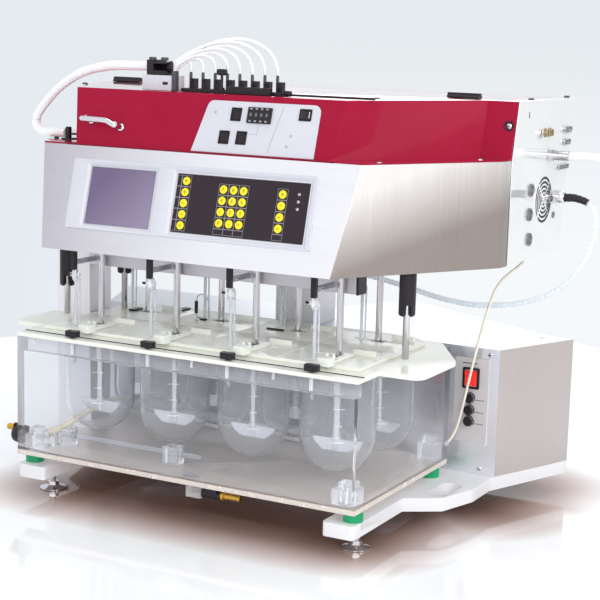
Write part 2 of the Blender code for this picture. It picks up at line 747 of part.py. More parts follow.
def vessel_plate():
    """Cream plate on the bath's rim, with ears at its sides and a hole for each vessel."""
    right = [(BATH_HALF, STRIP_DEPTH + SEAT_GAP, 0), (BATH_HALF, PLATE_EAR_FRONT, 0),
             (PLATE_EAR_HALF, PLATE_EAR_FRONT, STRIP_DEPTH), (PLATE_EAR_HALF, PLATE_EAR_REAR, STRIP_DEPTH),
             (PLATE_SHOULDER_HALF, PLATE_SHOULDER_Y, STRIP_DEPTH), (PLATE_REAR_HALF, PLATE_REAR, STRIP_DEPTH)]
    ear_rear = LEFT_COLUMN_FRONT - STRIP_DEPTH
    left = [(-BATH_HALF, PLATE_REAR, 0), (-BATH_HALF, ear_rear, 0), (-PLATE_EAR_HALF, ear_rear, 0),
            (-PLATE_EAR_HALF, PLATE_EAR_FRONT, STRIP_DEPTH), (-BATH_HALF, PLATE_EAR_FRONT, 0),
            (-BATH_HALF, STRIP_DEPTH + SEAT_GAP, 0)]
    plate = prism(rounded(right + left, 3), PLATE_BOTTOM, PLATE_TOP)
    hole = VESSEL_RADIUS + VESSEL_HOLE_CLEARANCE
    holes = [placed(rod(hole, PLATE_BOTTOM - OVERRUN, PLATE_TOP + OVERRUN, VESSEL_STEPS), at(x, y))
             for x, y in stations()]
    return cut(plate, *holes)


def vessel_lids():
    """The vessel covers as one plate, with flange pockets, paddle cut-outs, probe holes and grip bars."""
    right = [(LID_HALF, LID_FRONT, 0), (LID_HALF, LID_REAR - LID_CORNER, 0),
             (LID_HALF - LID_CORNER, LID_REAR, 0)]
    lids = prism(rounded(mirrored(right)), LID_BOTTOM, LID_TOP)
    bars = [block((x + SLEEVE_RADIUS, x + SLEEVE_RADIUS + LID_BAR_LENGTH),
                  (y + LID_SLOT_WIDTH * 2, y + LID_SLOT_WIDTH * 2 + LID_BAR_WIDTH),
                  (LID_TOP - LID_SKIN / 2, LID_TOP + LID_BAR_HEIGHT)) for x, y in stations()]
    fuse(lids, *bars)
    long, wide, eye = LID_SLOT_LENGTH / 2, LID_SLOT_WIDTH / 2, LID_EYE_HALF
    half = [(eye, -eye), (eye, -wide), (long, -wide), (long, wide), (eye, wide), (eye, eye)]
    low, high = LID_BOTTOM - OVERRUN, LID_TOP + OVERRUN
    tools = []
    for (x, y), (probe_x, probe_y) in zip(stations(), probes()):
        pocket = rod(FLANGE_RADIUS + POCKET_CLEARANCE, low, LID_TOP - LID_SKIN, VESSEL_STEPS)
        tools.append(placed(pocket, at(x, y)))
        tools.append(placed(prism(mirrored(half), low - OVERRUN, high + OVERRUN), at(x, y)))
        tools.append(placed(rod(PROBE_HOLE_RADIUS, low, high, TINY_STEPS), at(probe_x, probe_y)))
    return cut(lids, *tools)


def vessel():
    """Round-bottomed glass with a flange that rests on the plate, drawn about its own axis."""
    inner = VESSEL_RADIUS - VESSEL_WALL
    angles = [math.pi / 2 * k / BOWL_STEPS for k in range(BOWL_STEPS + 1)]
    outside = [(VESSEL_RADIUS * math.sin(a), VESSEL_CENTRE_Z - VESSEL_RADIUS * math.cos(a)) for a in angles]
    inside = [(inner * math.sin(a), VESSEL_CENTRE_Z - inner * math.cos(a)) for a in reversed(angles)]
    flange = [(VESSEL_RADIUS, FLANGE_BOTTOM), (FLANGE_RADIUS, FLANGE_BOTTOM), (FLANGE_RADIUS, FLANGE_TOP),
              (inner, FLANGE_TOP)]
    return lathe(outside + flange + inside, VESSEL_STEPS)


def clamp_knob():
    """A short black knob on a stem, drawn about its own axis from the strip's top."""
    stem_top = PLATE_TOP - STRIP_TOP
    return lathe([(0, 0), (KNOB_STEM_RADIUS, 0), (KNOB_STEM_RADIUS, stem_top), (KNOB_RADIUS, stem_top),
                  (KNOB_RADIUS, stem_top + KNOB_HEIGHT - BEZEL_THICKNESS),
                  (KNOB_RADIUS - BEZEL_THICKNESS, stem_top + KNOB_HEIGHT), (0, stem_top + KNOB_HEIGHT)],
                 SIMPLE_STEPS)


def rocker_cutter(width, height):
    """A cutter for a rocker's opening, in the panel's frame about the rocker's middle."""
    half_x, half_y = width / 2 + RUNNING_GAP, height / 2 + RUNNING_GAP
    return block((-half_x, half_x), (-half_y, half_y), (-OVERRUN * 2, OVERRUN * 2))


def rear_housing():
    """Sheet housing behind the bath, open below, with its switch plate and the hole for the middle column."""
    outer = mirrored([(HOUSING_FRONT_HALF, HOUSING_FRONT), (HOUSING_REAR_HALF, HOUSING_REAR)])
    inner = mirrored([(HOUSING_FRONT_HALF - SHEET, HOUSING_FRONT + SHEET),
                      (HOUSING_REAR_HALF - SHEET * 2, HOUSING_REAR - SHEET)])
    shell = prism(outer, HOUSING_BOTTOM, HOUSING_TOP)
    x, z = SWITCH_PLATE_X, SWITCH_PLATE_Z
    plate = block((x - SWITCH_PLATE_WIDTH / 2, x + SWITCH_PLATE_WIDTH / 2),
                  (HOUSING_FRONT - SWITCH_PLATE_THICKNESS, HOUSING_FRONT + SHEET / 2),
                  (z - SWITCH_PLATE_HEIGHT / 2, z + SWITCH_PLATE_HEIGHT / 2))
    bezel = block((MAINS_X - BEZEL_WIDTH / 2, MAINS_X + BEZEL_WIDTH / 2),
                  (HOUSING_FRONT - SWITCH_PLATE_THICKNESS - BEZEL_THICKNESS, HOUSING_FRONT + SHEET / 2),
                  (MAINS_Z - BEZEL_HEIGHT / 2, MAINS_Z + BEZEL_HEIGHT / 2))
    fuses = [placed(rod(FUSE_RADIUS, 0.0, FUSE_LENGTH + SHEET),
                    at(FUSE_X, HOUSING_FRONT + SHEET / 2, level) @ Matrix.Rotation(math.pi / 2, 4, "X"))
             for level in FUSE_HEIGHTS]
    fuse(shell, plate, bezel, *fuses)
    hollow = prism(inner, HOUSING_BOTTOM - OVERRUN, HOUSING_TOP - SHEET)
    half = MID_COLUMN_WIDTH / 2 + RUNNING_GAP
    column_rear = MID_COLUMN_FRONT + MID_COLUMN_DEPTH + RUNNING_GAP
    column_hole = block((-half, half), (MID_COLUMN_FRONT - RUNNING_GAP, column_rear),
                        (HOUSING_TOP - SHEET - OVERRUN, HOUSING_TOP + OVERRUN))
    frame = at(MAINS_X, HOUSING_FRONT, MAINS_Z) @ Matrix.Rotation(math.pi / 2, 4, "X")
    rocker_hole = placed(rocker_cutter(MAINS_ROCKER_WIDTH, MAINS_ROCKER_HEIGHT), frame)
    return cut(shell, hollow, column_hole, rocker_hole)


def rocker(width, height):
    """A rocker drawn about its pivot: a shallow V in front, x across, y up, z out of the panel."""
    half, crest = height / 2, ROCKER_DEPTH / 2
    tip = crest + ROCKER_CREST
    side = [(-half, tip), (-half, -crest), (half, -crest), (half, tip), (0, crest)]
    body = prism(side, -width / 2, width / 2)
    axes = Matrix(((0, 0, 1), (1, 0, 0), (0, 1, 0))).to_4x4()
    return placed(body, axes)


def column(x, width, front, depth, bottom):
    """A hollow square column that the head's post slides in."""
    outer = block((x - width / 2, x + width / 2), (front, front + depth), (bottom, COLUMN_TOP))
    inner = block((x - width / 2 + COLUMN_WALL, x + width / 2 - COLUMN_WALL),
                  (front + COLUMN_WALL, front + depth - COLUMN_WALL),
                  (bottom - OVERRUN, COLUMN_TOP + OVERRUN))
    return cut(outer, inner)


def post(x, width, front, depth):
    """The head's post that fits a column with a running gap."""
    inset = COLUMN_WALL + POST_WALL_GAP
    return block((x - width / 2 + inset, x + width / 2 - inset), (front + inset, front + depth - inset),
                 (HEAD_BOTTOM - POST_REACH, HEAD_BOTTOM + SHEET / 2))


def front_drain():
    """Drain under the bath's front edge: clear block, black valve body, nut and nozzle along +X."""
    centre = BATH_BOTTOM - SEAT_GAP - DRAIN_BLOCK_HEIGHT / 2 - SEAT_GAP
    outlet = DRAIN_BLOCK_X + DRAIN_BLOCK_WIDTH
    half_y, half_z = DRAIN_BLOCK_DEPTH / 2, DRAIN_BLOCK_HEIGHT / 2
    body = block((DRAIN_BLOCK_X, outlet), (DRAIN_Y - half_y, DRAIN_Y + half_y),
                 (centre - half_z, centre + half_z))
    start, nut = -OVERRUN, DRAIN_BODY_LENGTH
    nozzle = nut + DRAIN_NUT_LENGTH
    end = nozzle + NOZZLE_LENGTH
    radius = DRAIN_BODY_RADIUS - SEAT_GAP * 4
    valve = lathe([(0, start), (radius, start), (radius, nut), (DRAIN_NUT_RADIUS, nut),
                   (DRAIN_NUT_RADIUS, nozzle), (NOZZLE_RADIUS, nozzle), (NOZZLE_RADIUS, end),
                   (NOZZLE_BORE, end), (NOZZLE_BORE, nozzle), (0, nozzle)], SMALL_STEPS)
    return fuse(body, placed(valve, along_x(outlet, DRAIN_Y, centre - SEAT_GAP * 4)))


def side_drain():
    """Black valve on the bath's left wall with a nozzle above its middle, along -X."""
    wall = -BATH_HALF - SEAT_GAP
    frame = at(wall, SIDE_DRAIN_Y, SIDE_DRAIN_Z) @ Matrix.Rotation(-math.pi / 2, 4, "Y")
    body = placed(rod(SIDE_DRAIN_RADIUS, 0.0, SIDE_DRAIN_LENGTH, ROUND_STEPS), frame)
    end = SIDE_DRAIN_LENGTH + SIDE_NOZZLE_LENGTH
    low = SIDE_DRAIN_LENGTH - OVERRUN
    nozzle = lathe([(0, low), (NOZZLE_RADIUS, low), (NOZZLE_RADIUS, end), (NOZZLE_BORE, end),
                    (NOZZLE_BORE, SIDE_DRAIN_LENGTH), (0, SIDE_DRAIN_LENGTH)], SMALL_STEPS)
    return fuse(body, placed(nozzle, at(0, 0, SIDE_NOZZLE_RISE) @ frame))


def head_outline(level, inset=0.0):
    """The steel head's outline at a height, moved inward by an inset."""
    rise = level - HEAD_BOTTOM
    front = HEAD_FRONT + FRONT_LEAN * rise + inset * math.hypot(1, FRONT_LEAN)
    rear = HEAD_REAR + HEAD_REAR_LEAN * rise - inset * math.hypot(1, HEAD_REAR_LEAN)
    side = HEAD_HALF - inset
    shift = inset * math.hypot(1, FLARE)
    corner = HEAD_FRONT_HALF + FLARE * (front - HEAD_FRONT) - shift
    bend = HEAD_FRONT + (side + shift - HEAD_FRONT_HALF) / FLARE
    right = [(corner, front, 0), (side, bend, HEAD_BEND_RADIUS - inset), (side, rear, 0)]
    return [(x, y, level) for x, y in rounded(mirrored(right), 3)]


def head_housing():
    """Sheet steel head, open on top, with shaft holes in its floor and the two lift posts."""
    shell = loft([head_outline(HEAD_BOTTOM), head_outline(HEAD_STEEL_TOP)])
    top = HEAD_STEEL_TOP + OVERRUN
    hollow = loft([head_outline(HEAD_BOTTOM + SHEET, SHEET), head_outline(top, SHEET)])
    low, high = HEAD_BOTTOM - OVERRUN, HEAD_BOTTOM + SHEET + OVERRUN
    bores = [placed(rod(SHAFT_RADIUS + BEARING_GAP, low, high), at(x, y)) for x, y in stations()]
    cut(shell, hollow, *bores)
    return fuse(shell, post(LEFT_COLUMN_X, LEFT_COLUMN_WIDTH, LEFT_COLUMN_FRONT, LEFT_COLUMN_DEPTH),
                post(0.0, MID_COLUMN_WIDTH, MID_COLUMN_FRONT, MID_COLUMN_DEPTH))


def cover_outline(level, inset=0.0):
    """The red cover's outline at a height: a narrow front, flared sides, and a step out on the right."""
    share = (level - COVER_BOTTOM) / COVER_RISE
    half = COVER_FRONT_HALF + (COVER_FRONT_TOP_HALF - COVER_FRONT_HALF) * share - inset
    front = COVER_FRONT + COVER_SETBACK * share + inset
    step = COVER_STEP_Y + COVER_STEP_SETBACK * share + inset
    rear = HEAD_REAR + HEAD_REAR_LEAN * (level - HEAD_BOTTOM) - inset
    right = [(half, front), (COVER_STEP_HALF - inset, step - inset), (COVER_STEP_HALF - inset, step),
             (HEAD_HALF - inset, step), (HEAD_HALF - inset, rear)]
    left = [(inset - COVER_STEP_HALF, rear), (inset - COVER_STEP_HALF, step - inset), (-half, front)]
    return [(x, y, level) for x, y in right + left]


def panel_openings():
    """Cutters for the four rockers of the control panel."""
    frame = slope(*COVER_SLOPE)
    upright = [placed(rocker_cutter(PANEL_ROCKER_WIDTH, PANEL_ROCKER_HEIGHT), frame @ at(x, y))
               for name, x, y in PANEL_ROCKERS]
    turned = placed(rocker_cutter(PANEL_ROCKER_HEIGHT, PANEL_ROCKER_WIDTH), frame @ at(*TURNED_ROCKER))
    return [*upright, turned]


def red_cover():
    """Red sheet cover: a flange over the steel head, the leaning box on it and the two grips on top."""
    box = loft([cover_outline(COVER_BOTTOM), cover_outline(HEAD_TOP)], split=True)
    flange_top = COVER_BOTTOM + SHEET
    rim = [(x, y) for x, y, _ in head_outline(HEAD_STEEL_TOP)]
    flange = prism(rim, COVER_BOTTOM, flange_top)
    grips = [block((side * TOP_GRIP_X - TOP_GRIP_LENGTH / 2, side * TOP_GRIP_X + TOP_GRIP_LENGTH / 2),
                   (TOP_GRIP_Y - TOP_GRIP_DEPTH / 2, TOP_GRIP_Y + TOP_GRIP_DEPTH / 2),
                   (HEAD_TOP - SHEET / 2, HEAD_TOP + TOP_GRIP_HEIGHT)) for side in (-1, 1)]
    hose_y = SLEEVE_HOSE_ROUTE[-1][1]
    bracket = block((BRACKET_X - BRACKET_WIDTH / 2, BRACKET_X + BRACKET_WIDTH / 2),
                    (hose_y - BRACKET_DEPTH / 2, hose_y + BRACKET_DEPTH / 2),
                    (COVER_BOTTOM + SHEET / 2, flange_top + BRACKET_HEIGHT))
    fuse(box, flange, *grips, bracket)
    hollow = loft([cover_outline(COVER_BOTTOM - OVERRUN, SHEET), cover_outline(HEAD_TOP - SHEET, SHEET)], split=True)
    return cut(box, hollow, *panel_openings())


def display_bezel():
    """White frame on the steel front, with a sunk display window and a sunk field for the keypad."""
    top = SEAT_GAP + FRAME_THICKNESS
    frame = block((FRAME_LEFT, FRAME_RIGHT), (FRAME_LOW, FRAME_HIGH), (SEAT_GAP, top))
    sunk = (top - WINDOW_DEPTH, top + OVERRUN)
    window = block((WINDOW_LEFT, WINDOW_RIGHT), (WINDOW_LOW, WINDOW_HIGH), sunk)
    field = block((KEYPAD_LEFT, KEYPAD_RIGHT), (WINDOW_LOW, WINDOW_HIGH), sunk)
    return placed(cut(frame, window, field), slope(*HEAD_SLOPE))


def key_places():
    """The keypad's keys: one tall column on the left and four columns of the matrix."""
    left = [(KEY_LEFT_X, KEY_LEFT_TOP_ROW - row * KEY_PITCH) for row in range(KEY_LEFT_ROWS)]
    return left + [(x, KEY_TOP_ROW - row * KEY_PITCH) for x in KEY_COLUMNS_X for row in range(KEY_ROWS)]


def keypad():
    """Black membrane with raised round keys."""
    low = SEAT_GAP + FRAME_THICKNESS - WINDOW_DEPTH + SEAT_GAP
    high = low + KEYPAD_THICKNESS
    sheet = block((KEYPAD_LEFT + SEAT_GAP, KEYPAD_RIGHT - SEAT_GAP),
                  (WINDOW_LOW + SEAT_GAP, WINDOW_HIGH - SEAT_GAP), (low, high))
    sunk = high - KEYPAD_THICKNESS / 2
    keys = [placed(rod(KEY_RADIUS, sunk, high + KEY_HEIGHT, TINY_STEPS), at(x, y)) for x, y in key_places()]
    return placed(fuse(sheet, *keys), slope(*HEAD_SLOPE))


def control_panel():
    """White panel on the red front, with rocker openings and the block of thumb wheels."""
    corners = [(PANEL_LOW_LEFT, PANEL_LOW, 0), (PANEL_RIGHT, PANEL_LOW, 0),
               (PANEL_RIGHT, PANEL_HIGH, PANEL_RADIUS), (PANEL_HIGH_LEFT, PANEL_HIGH, PANEL_RADIUS)]
    panel = prism(rounded(corners), SEAT_GAP, SEAT_GAP + PANEL_THICKNESS)
    wheels = block((WHEEL_LEFT, WHEEL_RIGHT), (WHEEL_LOW, WHEEL_HIGH),
                   (SEAT_GAP + PANEL_THICKNESS / 2, SEAT_GAP + PANEL_THICKNESS + WHEEL_THICKNESS))
    panel = placed(fuse(panel, wheels), slope(*COVER_SLOPE))
    return cut(panel, *panel_openings())


def bow_handle():
    """Chrome bar on two posts, its right end bent down to its post."""
    frame = slope(*COVER_SLOPE)
    up = (BOW_Z - COVER_BOTTOM) * math.hypot(1, COVER_SETBACK / COVER_RISE)
    seat = SEAT_GAP
    low = up - BOW_DROP
    line = [(BOW_LEFT, up, BOW_OFFSET), (BOW_BEND, up, BOW_OFFSET),
            (BOW_RIGHT - BOW_RADIUS, low, BOW_OFFSET / 2), (BOW_RIGHT, low, seat)]
    bar = as_mesh(tube(line, BOW_RADIUS))
    left = placed(rod(BOW_POST_RADIUS, seat, BOW_OFFSET, BOW_SIDES), at(BOW_POST_X, up))
    trim = block((BOW_LEFT, BOW_RIGHT + OVERRUN * 2), (up - BOW_OFFSET * 2, up + BOW_OFFSET * 2),
                 (-OVERRUN * 2, seat))
    return placed(cut(fuse(bar, left), trim), frame)


def guide_sleeve(low):
    """Black sleeve under the head with the guide rod that reaches down to the plate."""
    high = HEAD_BOTTOM - SEAT_GAP
    rod_end = LID_TOP + SEAT_GAP
    return lathe([(0, rod_end), (GUIDE_ROD_RADIUS, rod_end), (GUIDE_ROD_RADIUS, low),
                  (SLEEVE_RADIUS - SLEEVE_ROUND, low), (SLEEVE_RADIUS, low + SLEEVE_ROUND),
                  (SLEEVE_RADIUS, high), (0, high)], SMALL_STEPS)


def stirring_shaft():
    """Shaft with its paddle, hub and belt pulley, drawn about its own axis."""
    floor = HEAD_BOTTOM + SHEET + SEAT_GAP
    pulley_top = PULLEY_LOW + PULLEY_HEIGHT
    low = PADDLE_LOW + PADDLE_THICKNESS / 2
    shaft = lathe([(0, low), (SHAFT_RADIUS, low), (SHAFT_RADIUS, floor), (HUB_RADIUS, floor),
                   (HUB_RADIUS, PULLEY_LOW), (PULLEY_RADIUS, PULLEY_LOW), (PULLEY_RADIUS, pulley_top),
                   (SHAFT_RADIUS, pulley_top), (SHAFT_RADIUS, pulley_top + SHAFT_TOP),
                   (0, pulley_top + SHAFT_TOP)], SIMPLE_STEPS)
    side = []
    for k in range(PADDLE_ARC_STEPS + 1):
        rise = k / PADDLE_ARC_STEPS
        half = PADDLE_FOOT / 2 + (PADDLE_WIDTH - PADDLE_FOOT) / 2 * math.sin(rise * math.pi / 2)
        side.append((half, PADDLE_LOW + PADDLE_HEIGHT * rise))
    blade = prism(mirrored(side), -PADDLE_THICKNESS / 2, PADDLE_THICKNESS / 2)
    return fuse(shaft, placed(blade, Matrix.Rotation(math.pi / 2, 4, "X")))


def drive_belt():
    """Belt round all eight pulleys: the hull of the outer ones."""
    inside = PULLEY_RADIUS + SEAT_GAP
    middle = PULLEY_LOW + PULLEY_HEIGHT / 2

    def loop(reach):
        x, low, high = COLUMNS_X[-1] + reach, ROWS_Y[0] - reach, ROWS_Y[-1] + reach
        return rounded([(-x, low, reach), (x, low, reach), (x, high, reach), (-x, high, reach)], 5)

    outer = prism(loop(inside + BELT_THICKNESS), middle - BELT_WIDTH / 2, middle + BELT_WIDTH / 2)
    return cut(outer, prism(loop(inside), middle - BELT_WIDTH, middle + BELT_WIDTH))


def drive_motor():
    """Motor on a two-legged bracket over the head's floor, its pulley against the belt's rear run."""
    floor = HEAD_BOTTOM + SHEET + SEAT_GAP
    bracket = floor + MOTOR_LIFT
    y = ROWS_Y[-1]
    stack = lathe([(0, PULLEY_LOW), (PULLEY_RADIUS, PULLEY_LOW), (PULLEY_RADIUS, PULLEY_LOW + PULLEY_HEIGHT),
                   (MOTOR_SHAFT_RADIUS, PULLEY_LOW + PULLEY_HEIGHT), (MOTOR_SHAFT_RADIUS, bracket),
                   (MOTOR_RADIUS, bracket), (MOTOR_RADIUS, bracket + MOTOR_LENGTH),
                   (0, bracket + MOTOR_LENGTH)], VESSEL_STEPS)
    placed(stack, at(0.0, y))
    reach = MOTOR_LEG_X + MOTOR_LEG
    depth = PULLEY_RADIUS - MOTOR_LEG
    low, high = bracket - MOTOR_PLATE, bracket + MOTOR_PLATE
    arch = mirrored([(MOTOR_LEG_X, low), (MOTOR_LEG_X, floor), (reach, floor), (reach, high)])
    frame = at(0.0, y) @ Matrix.Rotation(math.pi / 2, 4, "X")
    return fuse(stack, placed(prism(arch, -depth, depth), frame))


def sampling_manifold():
    """Beam under the head with an arm, a fitting and a dip tube for each vessel."""
    beam = block((BEAM_LEFT, BEAM_RIGHT), (BEAM_FRONT, BEAM_REAR), (BEAM_LOW, BEAM_HIGH))
    parts = [block((x - HANGER_WIDTH / 2, x + HANGER_WIDTH / 2), (BEAM_FRONT + SHEET, BEAM_REAR - SHEET),
                   (BEAM_HIGH - SHEET, HEAD_BOTTOM - SEAT_GAP)) for x in (-HANGER_X, HANGER_X)]
    inside = (BEAM_FRONT + BEAM_REAR) / 2
    half = PROBE_BLOCK / 2
    for x, y in probes():
        parts.append(block((x - ARM_WIDTH / 2, x + ARM_WIDTH / 2), sorted((inside, y)), (ARM_LOW, ARM_HIGH)))
        parts.append(block((x - half, x + half), (y - half, y + half), (PROBE_BLOCK_LOW, ARM_HIGH + SHEET)))
        dip = rod(PROBE_RADIUS, PROBE_LOW, PROBE_BLOCK_LOW + SHEET, SMALL_STEPS // 2)
        parts.append(placed(dip, at(x, y)))
    return fuse(beam, *parts)


def tube_rack():
    """Black rack on the cover with a post and a spout for each sampling tube."""
    low = HEAD_TOP + SEAT_GAP
    base = block((RACK_LEFT, RACK_RIGHT), (RACK_FRONT, RACK_REAR), (low, low + RACK_PLATE))
    middle = (RACK_FRONT + RACK_REAR) / 2
    top = low + RACK_PLATE + RACK_POST_HEIGHT
    parts = []
    for i in range(RACK_POSTS):
        x = RACK_POST_FIRST + i * RACK_POST_PITCH + RACK_POST_WIDTH / 2
        parts.append(block((x - RACK_POST_WIDTH / 2, x + RACK_POST_WIDTH / 2),
                           (middle, middle + RACK_POST_DEPTH), (low + RACK_PLATE / 2, top)))
        parts.append(placed(rod(RACK_SPOUT_RADIUS, top - SHEET, top + RACK_SPOUT_HEIGHT, SMALL_STEPS // 2),
                            at(x, middle + RACK_POST_DEPTH / 2)))
    return fuse(base, *parts)


def wing_knob():
    """A flat wing on a thin stem in front of the rack, drawn about its own axis."""
    low = HEAD_TOP + SEAT_GAP * 2 + RACK_PLATE
    stem = rod(WING_STEM_RADIUS, low, low + WING_STEM_HEIGHT + WING_HEIGHT / 2)
    half = WING_WIDTH / 2
    low_round, high_round = WING_HEIGHT / 4, WING_HEIGHT / 3
    wing = rounded([(-half, 0, low_round), (half, 0, low_round), (half, WING_HEIGHT, high_round),
                    (-half, WING_HEIGHT, high_round)], 2)
    wing = placed(prism(wing, -WING_DEPTH / 2, WING_DEPTH / 2),
                  at(0, 0, low + WING_STEM_HEIGHT) @ Matrix.Rotation(math.pi / 2, 4, "X"))
    return fuse(stem, wing)


def tube_clamp():
    """Block on the cover with an end plate and the screw clamp that grips the sleeve hose."""
    low = HEAD_TOP + SEAT_GAP
    top = low + TIE_BLOCK_HEIGHT
    body = block((TIE_BLOCK_LEFT, TIE_BLOCK_RIGHT), (TIE_BLOCK_FRONT, TIE_BLOCK_REAR), (low, top))
    end = block((TIE_BLOCK_RIGHT - SHEET, TIE_BLOCK_RIGHT - SHEET + TIE_PLATE_WIDTH),
                (TIE_BLOCK_FRONT - SHEET, TIE_BLOCK_FRONT + TIE_PLATE_WIDTH), (low, low + TIE_PLATE_HEIGHT))
    clamp = block((CLAMP_LEFT, CLAMP_RIGHT), (TIE_BLOCK_FRONT + SHEET, TIE_BLOCK_REAR - SHEET),
                  (top - SHEET, top + CLAMP_HEIGHT))
    middle = (TIE_BLOCK_FRONT + TIE_BLOCK_REAR) / 2
    knob_base = top + CLAMP_HEIGHT - SHEET
    knob_top = knob_base + SHEET + CLAMP_KNOB_HEIGHT
    knobs = [placed(rod(CLAMP_KNOB_RADIUS, knob_base, knob_top), at(x, middle))
             for x in (CLAMP_LEFT + CLAMP_KNOB_INSET, CLAMP_RIGHT - CLAMP_KNOB_INSET)]
    return fuse(body, end, clamp, *knobs)


def side_panel():
    """White panel on the head's right side with fan ring, sockets, plug boxes and the two fittings."""
    outline = [(SIDE_FRONT, HEAD_BOTTOM), (HEAD_REAR, HEAD_BOTTOM), (HEAD_BACK, HEAD_TOP),
               (COVER_STEP_Y + COVER_STEP_SETBACK, HEAD_TOP), (SIDE_FRONT, HEAD_STEEL_TOP)]
    face = HEAD_HALF + SEAT_GAP
    outer = face + SIDE_THICKNESS
    axes = Matrix(((0, 0, 1, 0), (1, 0, 0, 0), (0, 1, 0, 0), (0, 0, 0, 1)))
    panel = placed(prism(outline, face, outer), axes)
    sunk = SIDE_THICKNESS / 2

    def boss(place, radius, length, steps=ROUND_STEPS):
        return placed(rod(radius, 0.0, length + sunk, steps), along_x(outer - sunk, *place))

    parts = [boss(place, SOCKET_RADIUS, SOCKET_LENGTH, SMALL_STEPS) for place in SOCKETS]
    parts.append(boss((FAN_Y, FAN_Z), FAN_RADIUS, FAN_RISE, VESSEL_STEPS))
    parts.append(boss(HOSE_FITTING, HOSE_FITTING_RADIUS, HOSE_FITTING_LENGTH, SMALL_STEPS))
    parts.append(boss(ROUND_PLUG, ROUND_PLUG_RADIUS, ROUND_PLUG_LENGTH, SMALL_STEPS))
    for y, z, width, height in PLUG_BOXES:
        parts.append(block((outer - sunk, outer + PLUG_RISE), (y - width / 2, y + width / 2),
                           (z - height / 2, z + height / 2)))
    return fuse(panel, *parts)


def sampling_tubes():
    """Eight thin tubes that rise from the clamp in a fan and come down on the rack's spouts."""
    spout_top = HEAD_TOP + SEAT_GAP + RACK_PLATE + RACK_POST_HEIGHT + RACK_SPOUT_HEIGHT + SEAT_GAP
    spout_y = (RACK_FRONT + RACK_REAR) / 2 + RACK_POST_DEPTH / 2
    start = Vector(FAN_START)
    stub = placed(rod(SLEEVE_HOSE_RADIUS + SHEET, 0.0, OVERRUN * 2), along_x(*FAN_START))
    tubes = []
    for i in range(RACK_POSTS):
        end = Vector((RACK_POST_FIRST + i * RACK_POST_PITCH + RACK_POST_WIDTH / 2, spout_y, spout_top))
        place = Vector((OVERRUN, (i % 2 - 0.5) * FAN_TUBE_SPACING, (i // 2 - 1.5) * FAN_TUBE_SPACING))
        rise = FAN_TUBE_PEAK * (i + 2) / (RACK_POSTS + 1)
        points = []
        for k in range(FAN_TUBE_STEPS + 1):
            t = k / FAN_TUBE_STEPS
            point = (start + place).lerp(end + Vector((0, 0, RACK_SPOUT_HEIGHT)), t)
            point.z += rise * 2 * t * (1 - t) ** FAN_FALL_SHARE
            points.append(point)
        points.append(end)
        tubes.append(as_mesh(tube(points, FAN_TUBE_RADIUS)))
    return fuse(stub, *tubes)


